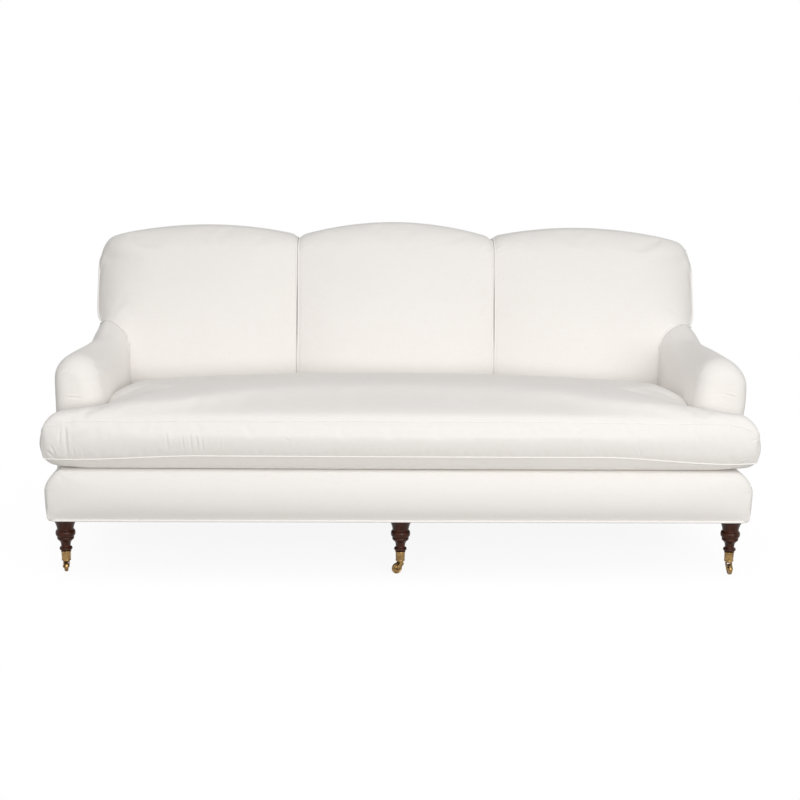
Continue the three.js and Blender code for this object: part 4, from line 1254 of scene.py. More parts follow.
def lobe_crest(x):
    """Top line of the back: an arch for each lobe that dips at its seams."""
    distance = abs(x)
    central = distance < SEAM
    middle = 0 if central else SIDE_MIDDLE
    arch = CENTRE_ARCH if central else SIDE_ARCH
    crest = BACK_TOP if central else BACK_TOP - SIDE_DROP
    offset = (distance - middle) / (SEAM if central else SIDE_MIDDLE - SEAM)
    near_seam = 1 - min(abs(distance - SEAM) / SEAM_DIP_WIDTH, 1)
    dip = SEAM_DIP * (1 - math.sqrt(1 - near_seam ** 2))
    near_end = min(max(0, distance - (BACK_HALF - CORNER_WIDTH)) / CORNER_WIDTH, 1)
    corner = CORNER_DROP * (1 - math.sqrt(1 - near_end ** 2))
    return crest - arch * offset ** 2 - dip - corner


def arm_crest(x):
    """Level of the arm's round top at its rear, below a side lobe."""
    offset = abs(x) - ARM_MIDDLE
    width = ARM_RADIUS if offset > 0 else ARM_RADIUS + ARM_LEAN
    height = ARM_RADIUS + ARM_REAR_SLOPE if offset > 0 else ARM_RADIUS
    reach = min(abs(offset) / width, 1)
    return ARM_TOP_REAR - height * (1 - math.sqrt(1 - reach ** 2))


def lobe_foot(x):
    """Lower edge of a lobe: the deck, or the arm's top with a rounded hip at the outer end."""
    if abs(x) < ARM_INNER:
        return DECK + CLEARANCE
    near_end = min(max(0, abs(x) - (BACK_HALF - HIP_WIDTH)) / HIP_WIDTH, 1)
    hip = HIP_RISE * (1 - math.sqrt(1 - near_end ** 2))
    return arm_crest(x) + 2 * CLEARANCE + hip


def lobe_ring(x, fullness, setback, foot):
    """One upright section through a lobe."""
    top = lobe_crest(x)
    rise = top - DECK

    def front(z):
        height = (z - DECK) / rise
        swell_share = math.sin(math.pi * min(max(height, 0), 1))
        base = blend_between(0.45, 0.35, height)
        forward = (SEAM_SETBACK + PAD_CROWN) * fullness * (base + (1 - base) * swell_share)
        return pad_plane(z) + SEAM_SETBACK - forward + setback

    shoulder = top - min(PAD_TOP_RADIUS, rise / 2)
    knee = max(KNEE, foot)
    low = [max(z, foot) for z in np.linspace(DECK + CLEARANCE, KNEE, LOBE_LOW_ROWS, endpoint=False)]
    high = np.linspace(knee, shoulder, LOBE_HIGH_ROWS, endpoint=False)
    points = [(front(z), z) for z in low + list(high)]
    crest = min(PAD_TOP_RADIUS, rear_plane(top) - front(shoulder) - PAD_REAR_RADIUS)
    for angle in np.linspace(0, math.pi / 2, LOBE_TOP_ROWS):
        points.append((
            front(shoulder) + crest * (1 - math.cos(angle)),
            blend_between(shoulder, top, math.sin(angle))))
    for angle in np.linspace(0, math.pi / 2, 6):
        z = top - PAD_REAR_RADIUS * (1 - math.cos(angle))
        points.append((rear_plane(z) - PAD_REAR_RADIUS * (1 - math.sin(angle)), z))
    points += [(rear_plane(z), z) for z in np.linspace(points[-1][1], knee, 12)[1:]]
    points += [(rear_plane(z), z) for z in reversed(low[::3])]
    points += [
        (blend_between(rear_plane(foot), points[0][0], share), points[0][1])
        for share in LOBE_FOOT_SHARES]
    if abs(x) > ARM_INNER:
        hip = max(0, foot - arm_crest(x) - 2 * CLEARANCE)
        points = [(y, z - foot_fall(y, z - foot, hip)) for y, z in points]
    return [Vector((x, y, z)) for y, z in points]


def foot_fall(y, height, hip):
    """How far a lobe's foot goes down in front, where the arm is still low, and behind its hip."""
    behind = ease(y, *HIP_REAR)
    return (ARM_TOP_REAR - arm_top(y) + hip * behind) * max(0, 1 - height / FOOT_FALL_HEIGHT)


def lobe_fullness(x, low, high):
    """How far a lobe stands forward, from 0 at its seams to 1 in its middle."""
    offset = min(abs(2 * (x - low) / (high - low) - 1), 1)
    return math.sqrt(max(0, 1 - offset ** 2.6))


def crowded_ends(low, high, count):
    """Places between two ends, closer together near both."""
    shares = [(1 - math.cos(math.pi * at / count)) / 2 for at in range(count + 1)]
    return [blend_between(low, high, share) for share in shares]


def centre_lobe_rings():
    """Sections of the middle lobe, from seam to seam."""
    half = SEAM - SEAM_GAP
    return [
        lobe_ring(x, lobe_fullness(x, -half, half), 0, lobe_foot(x))
        for x in crowded_ends(-half, half, 64)]


def narrowed(side, x):
    """The left lobe's outer end sits a little further in than the right one's."""
    return x if side > 0 else x - LEFT_LOBE_NARROWER * float(ease(abs(x), ARM_INNER, BACK_HALF))


def side_lobe_front_setback(x):
    """How far the front of a side lobe falls back beyond the arm's inner face."""
    share = max(0, abs(x) - ARM_INNER) / (BACK_HALF - ARM_INNER)
    return EDGE_SETBACK * share ** 2.2


def side_lobe_rings():
    """Sections of the right-hand lobe, from the seam out over the arm."""
    inner = SEAM + SEAM_GAP
    between = ARM_INNER - 2 * CLEARANCE
    outer = between * 2 - inner
    rings = [
        lobe_ring(x, lobe_fullness(x, inner, outer), 0, lobe_foot(x))
        for x in crowded_ends(inner, outer, 84) if x < between]
    rings.append(lobe_ring(between, 1, 0, DECK + CLEARANCE))
    rings.append(lobe_ring(between, 1, 0, KNEE))
    for x in np.linspace(between, BACK_HALF - HIP_WIDTH, 14)[1:-1]:
        rings.append(lobe_ring(x, 1, side_lobe_front_setback(x), lobe_foot(x)))
    for angle in np.linspace(0, math.pi / 2, 9):
        x = BACK_HALF - HIP_WIDTH * (1 - math.sin(angle))
        rings.append(lobe_ring(x, 1, side_lobe_front_setback(x), lobe_foot(x)))
    return rings


def lobe_held(points):
    """A lobe's cover is held at its seams, its foot and its back."""
    x, y, z = points.T
    distance = np.abs(x)
    seam = fading(np.abs(distance - SEAM), *LOBE_SEAM_HOLD)
    outer = fading(BACK_HALF - distance, *LOBE_END_HOLD)
    behind = fading(rear_plane(z) - y, *LOBE_REAR_HOLD)
    foot = fading(z - DECK, *LOBE_FOOT_HOLD)
    over_arm = (distance > ARM_INNER - LOBE_ARM_OVERLAP) * fading(z - ARM_TOP_REAR, *LOBE_ARM_HOLD)
    return np.max([seam, outer, behind, foot, over_arm], axis=0)


class SOFA_OT_back(bpy.types.Operator):
    """Build the three lobes of the back"""

    bl_idname = "sofa.back"
    bl_label = "Back Lobes"

    def execute(self, context):
        for name, rings in (("centre", centre_lobe_rings()), ("right", side_lobe_rings())):
            right = padded_piece(
                f"back_lobe_{name}", lofted(rings), f"back_pad_{name}", lobe_held, LOBE_REACH)
        left = mirrored_piece(right, "back_lobe_left", lambda x: narrowed(-1, x))
        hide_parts("back_pad_left")
        return {"FINISHED"}


# Arms

def arm_top(y):
    """Level of an arm's top line at a depth."""
    return ARM_TOP_FRONT + ARM_RISE * float(ease(y, ARM_RISE_FROM, ARM_RISE_TO))


def arm_ring(depth_at, inset, outer_inset):
    """One section of the right arm: inner face, round top, outer face and lower edge."""
    def lean(z):
        return leaning * float(ease(z, ARM_LEAN_FROM, ARM_LEAN_TO))

    def taper(z):
        return float(ease(z, DECK, DECK + ARM_NOSE_FADE))

    def foot_inset(z):
        share = max(0, (BASE_WIDEST - z) / (BASE_WIDEST - UNDERSIDE))
        return BASE_FOOT_INSET * share ** 1.5

    top_depth = depth_at(ARM_TOP_FRONT)
    leaning = ARM_LEAN * (1 - float(ease(top_depth, *ARM_UPRIGHT)))
    top = arm_top(top_depth) - inset
    inner_top = ARM_INNER + ARM_LEAN + inset
    outer_top = ARM_OUTER - outer_inset
    radius = (outer_top - inner_top) / 2
    slope = ARM_REAR_SLOPE * float(ease(top_depth, *ARM_REAR_SLOPING))
    points = [
        (ARM_INNER + lean(z) + inset * taper(z), z)
        for z in np.linspace(UNDERSIDE, top - radius, ARM_ROWS, endpoint=False)]
    for angle in np.linspace(math.pi, 0, ARM_ARC_STEPS + 1):
        outside = angle < math.pi / 2
        drop = radius + (slope if outside else 0)
        reach = radius + (0 if outside else ARM_LEAN - leaning)
        points.append((
            inner_top + radius + reach * math.cos(angle),
            top - drop * (1 - math.sin(angle))))
    for z in np.linspace(top - radius - slope, UNDERSIDE, ARM_ROWS + 1)[1:]:
        points.append((ARM_OUTER - outer_inset * taper(z + DECK - BASE_WIDEST) - foot_inset(z), z))
    last, first = points[-1][0], points[0][0]
    points += [
        (blend_between(last, first, at / ARM_COLUMNS), UNDERSIDE)
        for at in range(1, ARM_COLUMNS)]
    return [Vector((x, depth_at(z), z)) for x, z in points]


def arm_nose_depth(y, z):
    """Place of the arm's rounded front, which stands forward above the cushion."""
    forward = ARM_NOSE_BULGE * float(ease(z, *ARM_NOSE_FORWARD))
    return y - forward * (1 - (y - ARM_FRONT) / ARM_NOSE)


def arm_rings():
    """Sections of the right arm, from its rounded front to the back's rear face."""
    rings = []
    nose_end = ARM_FRONT + ARM_NOSE
    for angle in np.linspace(0, math.pi / 2, 14, endpoint=False):
        y = ARM_FRONT + ARM_NOSE * (1 - math.cos(angle))
        square = (1 - math.cos(angle) ** ARM_NOSE_SQUARENESS) ** (1 / ARM_NOSE_SQUARENESS)
        rings.append(arm_ring(
            lambda z, y=y: arm_nose_depth(y, z),
            ARM_NOSE * (1 - math.sin(angle)), ARM_NOSE * (1 - square)))
    for share in np.linspace(0, 1, 50):
        rings.append(arm_ring(
            lambda z, share=share: blend_between(nose_end, rear_plane(z), share), 0, 0))
    return rings


def arm_front(ring):
    """The front of an arm, across the first of its sections."""
    last = 2 * ARM_ROWS + ARM_ARC_STEPS
    return sheet_of(
        ARM_COLUMNS, ARM_ROWS + ARM_ARC_STEPS // 2,
        lambda column, row: ring[row].lerp(ring[last - row], column / ARM_COLUMNS))


def arm_held(points):
    """An arm's cover is held below the seat, at its front and rear and along its flat outer side."""
    x, y, z = points.T
    low = fading(z - DECK, *ARM_LOW_HOLD)
    behind = ease(y, *ARM_REAR_HOLD)
    outside = ease(np.abs(x), *ARM_SIDE_HOLD) * (z < ARM_TOP_FRONT - ARM_RADIUS)
    front = 1 - ease(y, *ARM_FRONT_HOLD)
    return np.max([low, behind, outside * ARM_OUTSIDE_SHARE, front], axis=0)


def fuller_outside(piece):
    """The right arm's padding stands out further than the left one's towards its front."""
    points = points_of(piece.data)
    x, y, z = points.T
    outside = ease(x, *FULLER_ACROSS)
    above = ease(z, *FULLER_UP)
    below = 1 - FULLER_TOP_SHARE * ease(z, *FULLER_TOP)
    ahead = 1 - ease(y, *FULLER_BACK)
    points[:, 0] += ARM_RIGHT_FULLER * outside * above * below * ahead
    set_points(piece.data, points)


def slimmer_top(piece):
    """The left arm's roll is a little narrower towards its rear."""
    points = points_of(piece.data)
    x, y, z = points.T
    outside = ease(-x, *SLIMMER_ACROSS)
    above = ease(z, *SLIMMER_UP)
    behind = ease(y, *SLIMMER_BACK) * (1 - ease(y, *HIP_REAR))
    points[:, 0] += ARM_LEFT_SLIMMER * outside * above * behind
    set_points(piece.data, points)


class SOFA_OT_arms(bpy.types.Operator):
    """Build the two rolled arms"""

    bl_idname = "sofa.arms"
    bl_label = "Rolled Arms"

    def execute(self, context):
        rings = arm_rings()
        right = padded_piece(
            "arm_cover_right", lofted(rings, arm_front(rings[0])), "arm_upholstery_right", arm_held,
            ARM_REACH)
        left = mirrored_piece(right, "arm_cover_left")
        slimmer_top(left)
        fuller_outside(right)
        creased(left, LEFT_ARM_CREASES)
        creased(right, RIGHT_ARM_CREASES)
        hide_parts("arm_upholstery_left")
        return {"FINISHED"}


# Front border

def border_row(row, inset):
    """Half width and level of one row of the base's front, from its lower edge up over the shoulder."""
    if row < BORDER_LOW_ROWS:
        share = row / BORDER_LOW_ROWS
        half = BASE_HALF - BASE_FOOT_INSET * (1 - share) ** 1.5 - inset * share
        return half, blend_between(UNDERSIDE, BASE_WIDEST, share)
    angle = (row - BORDER_LOW_ROWS) / BORDER_HIGH_ROWS * math.pi / 2
    half = BASE_HALF - inset - BASE_SHOULDER * (1 - max(0, math.cos(angle)) ** SHOULDER_POWER)
    return half, blend_between(BASE_WIDEST, DECK - inset, math.sin(angle) ** SHOULDER_POWER)


def border_point(column, row, y, inset):
    """A point of the base's front by its column and row."""
    half, level = border_row(row, inset)
    return Vector(((2 * column / BORDER_COLUMNS - 1) * half, y, level))


def border_ring(y, inset):
    """The base's outline at a depth: lower edge, right end, top and left end."""
    rows = BORDER_LOW_ROWS + BORDER_HIGH_ROWS
    places = [(column, 0) for column in range(BORDER_COLUMNS)]
    places += [(BORDER_COLUMNS, row) for row in range(rows)]
    places += [(column, rows) for column in range(BORDER_COLUMNS, 0, -1)]
    places += [(0, row) for row in range(rows, 0, -1)]
    return [border_point(*place, y, inset) for place in places]


def border_bulge(point):
    """How far the base's front bulges at a place, forward in its middle and back at its foot."""
    front_share = 1 - min((point.y - FRONT) / BORDER_NOSE, 1)
    height = (point.z - UNDERSIDE) / (DECK - UNDERSIDE)
    near_end = 1 - min((BASE_HALF - abs(point.x)) / BORDER_END, 1)
    swell_share = (1 - (2 * height - 1) ** 2) * (1 - near_end ** 2)
    foot_share = max(0, 1 - 2 * height) ** 2
    return front_share * (BORDER_FOOT_SETBACK * foot_share - BORDER_BULGE * swell_share)


def front_border():
    """The padded base front: a bulging face, rounded edges and the band back to the arms."""
    rings = []
    for angle in np.linspace(0, math.pi / 2, 8):
        rings.append(border_ring(
            FRONT + BORDER_NOSE * (1 - math.cos(angle)), BORDER_NOSE * (1 - math.sin(angle))))
    for y in np.linspace(FRONT + BORDER_NOSE, ARM_FRONT - CLEARANCE, 10)[1:]:
        rings.append(border_ring(y, 0))
    face = sheet_of(
        BORDER_COLUMNS, BORDER_LOW_ROWS + BORDER_HIGH_ROWS,
        lambda column, row: border_point(column, row, FRONT, BORDER_NOSE))
    bm = lofted(rings, face)
    for vertex in bm.verts:
        vertex.co.y += border_bulge(vertex.co)
    return bm


def border_held(points):
    """The border's cover is held along its lower edge, its top and its rear."""
    x, y, z = points.T
    low = fading(z - UNDERSIDE, *BORDER_LOW_HOLD)
    top = ease(z, *BORDER_TOP_HOLD)
    behind = ease(y, *BORDER_REAR_HOLD)
    return np.max([low, top, behind], axis=0)


class SOFA_OT_border(bpy.types.Operator):
    """Build the padded base front"""

    bl_idname = "sofa.border"
    bl_label = "Front Border"

    def execute(self, context):
        padded_piece(
            "front_border_cover", front_border(), "front_border", border_held, BORDER_REACH)
        return {"FINISHED"}


# Legs and casters

def turned(profile, steps):
    """A round shape about an upright axis through radius and level pairs."""
    bm = bmesh.new()
    line = [bm.verts.new((radius, 0, level)) for radius, level in profile]
    edges = [bm.edges.new(pair) for pair in zip(line, line[1:])]
    bmesh.ops.spin(
        bm, geom=line + edges, cent=(0, 0, 0), axis=(0, 0, 1), angle=math.tau, steps=steps,
        use_merge=True)
    return closed_up(bm)


def round_bead(radius, level, height, depth, steps=8):
    """Points of a rounded ring on a turning: its outer radius, middle level, height and depth."""
    angles = np.linspace(-math.pi / 2, math.pi / 2, steps + 1)
    return [
        (radius - depth * (1 - math.cos(angle)), level + height / 2 * math.sin(angle))
        for angle in angles]


def hollow(first, last, sag, steps=8):
    """Points of a hollow between two points of a turning."""
    shares = np.linspace(0, 1, steps + 1)[1:-1]
    return [
        (blend_between(first[0], last[0], share) - sag * math.sin(math.pi * share),
         blend_between(first[1], last[1], share))
        for share in shares]


def leg_profile():
    """The turned leg from its foot in the cup to the spigot in the frame."""
    foot_radius = CUP_FOOT_RADIUS - CUP_WALL - CLEARANCE
    foot = CUP_BOTTOM + CUP_FLOOR + CLEARANCE
    ring, bead, bulge = (round_bead(*size) for size in (LEG_RING, LEG_BEAD, LEG_BULGE))
    flare = (LEG_TOP_RADIUS - SOFT_EDGE, SHOULDER - LEG_TOP_BAND - SOFT_EDGE)
    return (
        [(0, foot), (foot_radius, foot), (foot_radius, CUP_TOP + SOFT_EDGE)] + ring
        + hollow(ring[-1], ANKLE, ANKLE_SAG) + [ANKLE, ANKLE_TOP] + hollow(ANKLE_TOP, bead[0], SHIN_SAG)
        + bead + bulge + [NECK, NECK_TOP] + hollow(NECK_TOP, flare, THROAT_SAG) + [flare]
        + [(LEG_TOP_RADIUS, flare[1] + FLARE_STEP), (LEG_TOP_RADIUS, SHOULDER - SOFT_EDGE)]
        + [(LEG_TOP_RADIUS - SOFT_EDGE, SHOULDER), (COLLAR_RADIUS, SHOULDER)]
        + [(COLLAR_RADIUS, COLLAR_TOP), (SPIGOT_RADIUS, COLLAR_TOP)]
        + [(SPIGOT_RADIUS, SPIGOT_TOP), (0, SPIGOT_TOP)])


def cup_profile():
    """The brass socket round the leg's foot, with a rolled rim and a raised band at its foot."""
    hole = STEM_RADIUS + BRASS_FIT
    rim = round_bead(*CUP_RIM, 6)
    band = round_bead(*CUP_BAND, 6)
    inner = CUP_FOOT_RADIUS - CUP_WALL
    wall = (CUP_FOOT_RADIUS - CUP_WAIST, band[-1][1] + CUP_WAIST_STEP)
    upper = (CUP_FOOT_RADIUS - BRASS_FIT, rim[0][1] - CUP_WAIST)
    return (
        [(hole, CUP_BOTTOM), (inner, CUP_BOTTOM)] + band + [wall, upper] + rim
        + [(inner + CUP_CHAMFER, CUP_TOP), (inner, CUP_TOP - CUP_CHAMFER)]
        + [(inner, CUP_BOTTOM + CUP_FLOOR), (hole, CUP_BOTTOM + CUP_FLOOR), (hole, CUP_BOTTOM)])


def wheel_profile():
    """Half of the wheel's section: hub, dished side and rounded tread."""
    bore = AXLE_RADIUS + BRASS_FIT
    side = [(bore + out, -WHEEL_HALF + deep) for out, deep in WHEEL_HUB]
    side += [(WHEEL_RADIUS - inward, -WHEEL_HALF + deep) for inward, deep in WHEEL_RIM]
    tread_half = WHEEL_HALF - TREAD_EDGE
    tread = [
        (WHEEL_RADIUS - TREAD_CROWN * (1 - math.cos(angle)), tread_half * math.sin(angle))
        for angle in np.linspace(-math.pi / 2, math.pi / 2, 13)]
    return side + tread + [(radius, -level) for radius, level in reversed(side)] + [side[0]]


def cheek(side):
    """One cheek of the horn: a plate round the stem's foot and the axle, with soft edges."""
    top = Vector((0, 0, CROWN_TOP - CHEEK_TOP_RADIUS))
    boss = Vector((TRAIL, 0, WHEEL_RADIUS))
    along = boss - top
    heading = math.atan2(along.z, along.x)
    spread = math.acos((CHEEK_TOP_RADIUS - CHEEK_BOSS_RADIUS) / along.length)
    outline = []
    for centre, radius, start, end in (
            (top, CHEEK_TOP_RADIUS, heading + spread, heading - spread + math.tau),
            (boss, CHEEK_BOSS_RADIUS, heading - spread, heading + spread)):
        outline += [
            centre + Vector((radius * math.cos(angle), 0, radius * math.sin(angle)))
            for angle in np.linspace(start, end, 14)]
    bm = bmesh.new()
    face = bm.faces.new([bm.verts.new(point + Vector((0, CHEEK_INNER, 0))) for point in outline])
    pushed = bmesh.ops.extrude_face_region(bm, geom=[face])["geom"]
    moved = [item for item in pushed if isinstance(item, bmesh.types.BMVert)]
    bmesh.ops.translate(bm, vec=(0, CHEEK_OUTER - CHEEK_INNER, 0), verts=moved)
    rims = [edge for edge in bm.edges if abs(edge.verts[0].co.y - edge.verts[1].co.y) < WELD]
    bmesh.ops.bevel(
        bm, geom=rims, offset=CHEEK_EDGE, offset_type="OFFSET", affect="EDGES", segments=2,
        profile=0.5, material=-1)
    bmesh.ops.scale(bm, vec=(1, side, 1), verts=bm.verts)
    bmesh.ops.recalc_face_normals(bm, faces=bm.faces)
    return bm


def axle_pin():
    """The axle with a domed head at each end."""
    reach = CHEEK_OUTER + AXLE_HEAD_HEIGHT
    dome = [
        (AXLE_HEAD_RADIUS * math.cos(angle), CHEEK_OUTER + AXLE_HEAD_HEIGHT * math.sin(angle))
        for angle in np.linspace(0, math.pi / 2, 6)]
    half = [(AXLE_RADIUS, CHEEK_OUTER)] + dome[:-1] + [(0, reach)]
    return on_axle(turned([(radius, -level) for radius, level in reversed(half)] + half, 20))


def on_axle(bm):
    """Turns a shape made about an upright axis onto the wheel's axle."""
    bmesh.ops.rotate(bm, verts=bm.verts, cent=(0, 0, 0), matrix=Matrix.Rotation(math.pi / 2, 3, "X"))
    bmesh.ops.translate(bm, vec=(TRAIL, 0, WHEEL_RADIUS), verts=bm.verts)
    return bm


def horn_body():
    """The horn as it would stand at the origin, trailing towards +X."""
    stem_top = CROWN_TOP + CUP_FLOOR - STEM_GAP
    edge = CROWN_RADIUS - CROWN_EDGE
    crown = turned([
        (0, CROWN_BOTTOM), (edge, CROWN_BOTTOM), (CROWN_RADIUS, CROWN_BOTTOM + CROWN_EDGE),
        (CROWN_RADIUS, CROWN_TOP - CROWN_EDGE), (edge, CROWN_TOP), (STEM_RADIUS, CROWN_TOP),
        (STEM_RADIUS, stem_top), (0, stem_top)], 32)
    return joined(crown, cheek(1), cheek(-1), axle_pin())


def wheel_body():
    """The wheel as it would stand at the origin, trailing towards +X."""
    return on_axle(turned(wheel_profile(), 40))


def middle_of(node):
    """Middle of a solid's box."""
    low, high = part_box(node)
    return (low + high) / 2


def turned_to_place(bm, name):
    """Turns a caster part as its wheel trails and puts it under its leg."""
    stem = middle_of(f"caster_cup_{name}")
    trail = middle_of(f"caster_wheel_{name}") - stem
    turn = Matrix.Rotation(math.atan2(trail.y, trail.x), 3, "Z")
    bmesh.ops.rotate(bm, verts=bm.verts, cent=(0, 0, 0), matrix=turn)
    bmesh.ops.translate(bm, vec=(stem.x, stem.y, 0), verts=bm.verts)
    return bm


class SOFA_OT_legs(bpy.types.Operator):
    """Turn the six walnut legs"""

    bl_idname = "sofa.legs"
    bl_label = "Legs"

    def execute(self, context):
        steps = context.scene.sofa_timber.leg_steps
        for name in LEG_PLACES:
            centre = middle_of(f"leg_{name}")
            bm = turned(leg_profile(), steps)
            bmesh.ops.translate(bm, vec=(centre.x, centre.y, 0), verts=bm.verts)
            leg = add_piece(f"turned_leg_{name}", bm, "walnut_lacquer", "frame", "walnut_leg")
            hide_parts(f"leg_{name}")
        return {"FINISHED"}


class SOFA_OT_casters(bpy.types.Operator):
    """Build the brass cups, horns and wheels"""

    bl_idname = "sofa.casters"
    bl_label = "Casters"

    def execute(self, context):
        for name in LEG_PLACES:
            parts = (
                ("cup", turned(cup_profile(), 40), "frame"),
                ("horn", horn_body(), f"caster_horn_{name}"),
                ("wheel", wheel_body(), f"caster_wheel_{name}"))
            for part, bm, body in parts:
                made = add_piece(
                    f"brass_{part}_{name}", turned_to_place(bm, name), "aged_brass", body,
                    "caster_brass")
                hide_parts(f"caster_{part}_{name}")
        return {"FINISHED"}


# Outside back, deck and dust cover

def wavy_panel(columns, rows, place):
    """A thin closed panel; place gives each point by its shares across, up and through."""
    bm = bmesh.new()
    bmesh.ops.create_cube(bm, size=1)
    for axis, cuts in ((0, columns - 1), (1, rows - 1)):
        edges = [
            edge for edge in bm.edges
            if abs(edge.verts[0].co[axis] - edge.verts[1].co[axis]) > 0.9]
        bmesh.ops.subdivide_edges(bm, edges=edges, cuts=cuts, use_grid_fill=True)
    for vertex in bm.verts:
        vertex.co = place(vertex.co.x + 0.5, vertex.co.y + 0.5, vertex.co.z + 0.5)
    bmesh.ops.recalc_face_normals(bm, faces=bm.faces)
    return bm


def back_panel_half(z):
    """Half width of the outside back at a level."""
    low_half = ARM_OUTER - BASE_FOOT_INSET - CLEARANCE
    high_half = BACK_HALF - PANEL_INSET
    share = np.clip((z - (ARM_TOP_FRONT - ARM_NOSE)) / (ARM_TOP_REAR - ARM_TOP_FRONT + ARM_NOSE), 0, 1)
    return blend_between(low_half, high_half, float(share))


def back_panel_place(across, up, through):
    """The outside back: taut cover with a slight fullness between its seams."""
    side = 2 * across - 1
    top = lobe_crest(side * (BACK_HALF - PANEL_INSET)) - PANEL_INSET
    z = blend_between(UNDERSIDE, top, up)
    x = side * back_panel_half(z)
    edge = min((1 - abs(side)) * BACK_HALF, z - UNDERSIDE, top - z)
    full = 1 - (1 - min(edge / PANEL_EDGE, 1)) ** 2.5
    y = rear_plane(z) + CLEARANCE + through * (PANEL_THICKNESS - PANEL_SLACK + PANEL_FULLNESS * full)
    return Vector((x, y, z))


def deck_place(low, high, across, along, through):
    """The deck's cover, a little fuller in the middle and rounded at its edges."""
    x = blend_between(low.x, high.x, across)
    y = blend_between(low.y, high.y, along)
    edge = min(x - low.x, high.x - x, y - low.y, high.y - y)
    inset = DECK_ROUNDING * max(0, 1 - edge / DECK_EDGE) ** 2
    z = blend_between(low.z + inset, high.z - inset, through)
    return Vector((x, y, z))


def dust_cover_place(low, high, across, along):
    """The black cloth under the frame, sagging a little between its tacked edges."""
    x = blend_between(low.x, high.x, across)
    y = blend_between(low.y, high.y, along)
    sag = DUST_SAG * math.sin(math.pi * across) ** 0.5 * math.sin(math.pi * along) ** 0.5
    return Vector((x, y, (low.z + high.z) / 2 - min(sag, DUST_SAG)))


class SOFA_OT_back_and_deck(bpy.types.Operator):
    """Cover the outside back, the seat deck and the underside"""

    bl_idname = "sofa.back_and_deck"
    bl_label = "Outside Back and Deck"

    def execute(self, context):
        back = add_piece(
            "outside_back_cover", wavy_panel(*PANEL_GRID, back_panel_place),
            "ivory_linen", "frame", "linen")
        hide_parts("outside_back_panel")
        deck_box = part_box("seat_deck")
        deck = add_piece(
            "seat_deck_cover", wavy_panel(*DECK_GRID, lambda *shares: deck_place(*deck_box, *shares)),
            "deck_linen", "frame", "linen")
        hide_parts("seat_deck")
        low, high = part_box("dust_cover")
        columns, rows = DUST_GRID
        cloth = add_piece(
            "dust_cloth",
            sheet_of(columns, rows, lambda column, row: dust_cover_place(
                low, high, column / columns, row / rows)),
            "black_cambric", "frame", "dust_cloth")
        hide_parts("dust_cover")
        return {"FINISHED"}


# Piping

def lifted(points, lift):
    """Moves an upright path outward from the piece that it runs up and over."""
    path = np.array([tuple(point) for point in points])
    step = np.gradient(path, axis=0)
    away = np.stack([np.zeros(len(path)), -step[:, 2], step[:, 1]], axis=1)
    return path + lift * away / np.linalg.norm(away, axis=1, keepdims=True)


def seam_path(side, away, radius):
    """Along the edge of a lobe beside a seam, from the cushion up and over the top."""
    x = SEAM + away * (radius + CLEARANCE)
    inner = SEAM + away * SEAM_GAP
    outer = 2 * ARM_INNER - inner if away > 0 else -inner
    full = lobe_fullness(SEAM + away * (SEAM_GAP + radius), inner, outer)
    ring = lobe_ring(x, full, 0, DECK + CLEARANCE)[:LOBE_LOW_ROWS + LOBE_HIGH_ROWS + LOBE_TOP_ROWS + 4]
    ring = [point for point in ring if point.z > BOTTOM_WELT + SEAM_PATH_FOOT]

    def parted(z):
        share = float(np.clip((z - SEAM_OPEN_FROM) / SEAM_OPEN_HEIGHT, 0, 1))
        return away * SEAM_PARTING * math.sin(math.pi * share)

    return [(side * (x + parted(z)), y, z) for x, y, z in lifted(ring, 0.4 * radius)]


def outer_edge_path(side):
    """Round the hip of the back, up its outer front edge and over its corner."""
    x = BACK_HALF - EDGE_INSET
    hip = [
        lobe_ring(across, 1, side_lobe_front_setback(across), lobe_foot(across))[0]
        for across in np.linspace(BACK_HALF - HIP_WIDTH / 2, BACK_HALF - HIP_PATH_END, 8)]
    ring = lobe_ring(x, 1, side_lobe_front_setback(BACK_HALF), lobe_foot(x))
    ring = ring[LOBE_LOW_ROWS:LOBE_LOW_ROWS + LOBE_HIGH_ROWS + LOBE_TOP_ROWS + 4]
    edge = [(x, point[1], point[2]) for point in lifted(ring, EDGE_LIFT)]
    turned_up = [(point.x, point.y - EDGE_LIFT, point.z) for point in hip]
    return [(side * narrowed(side, across), y, z) for across, y, z in turned_up + edge]


def pleat_paths():
    """Short raised folds where the cover turns the top corners of each lobe."""
    paths = []
    for lobe, x, z, way in PLEATS:
        tree = tree_of(bpy.data.objects[f"back_lobe_{lobe}"])
        points = []
        for share in np.linspace(0, 1, 9):
            rise = PLEAT_RISE * math.sin(share * math.pi / 2)
            start = Vector((x + way * PLEAT_REACH * share, FRONT, z + rise))
            place, normal, _, _ = tree.ray_cast(start, Vector((0, 1, 0)))
            if place is None:
                start.y = pad_plane(start.z)
                place, normal, _, _ = tree.find_nearest(start)
            points.append(place + normal * PLEAT_LIFT)
        paths.append((points, False))
    return paths


def arm_joint_path(side, lift):
    """Along the joint of the back and the arm, over the arm's top and down its inner face."""
    arm = tree_of(bpy.data.objects["arm_cover_right" if side > 0 else "arm_cover_left"])
    points = []
    for x in np.linspace(BACK_HALF - HIP_WIDTH / 2, ARM_INNER + JOINT_TUCK, 60):
        foot = arm_crest(x) + JOINT_TUCK
        ring = lobe_ring(x, 1, side_lobe_front_setback(x), foot)
        points.append(Vector((side * narrowed(side, x), ring[LOBE_LOW_ROWS].y - JOINT_TUCK, foot)))
    points = laid_on(points, arm, lift)
    for z in np.linspace(points[-1].z, TOP_WELT - JOINT_PATH_FOOT, 20)[1:]:
        ring = lobe_ring(ARM_INNER - JOINT_INSET, 1, 0, z)
        points.append(Vector((side * ARM_INNER, ring[0].y - JOINT_TUCK, z)))
    return points


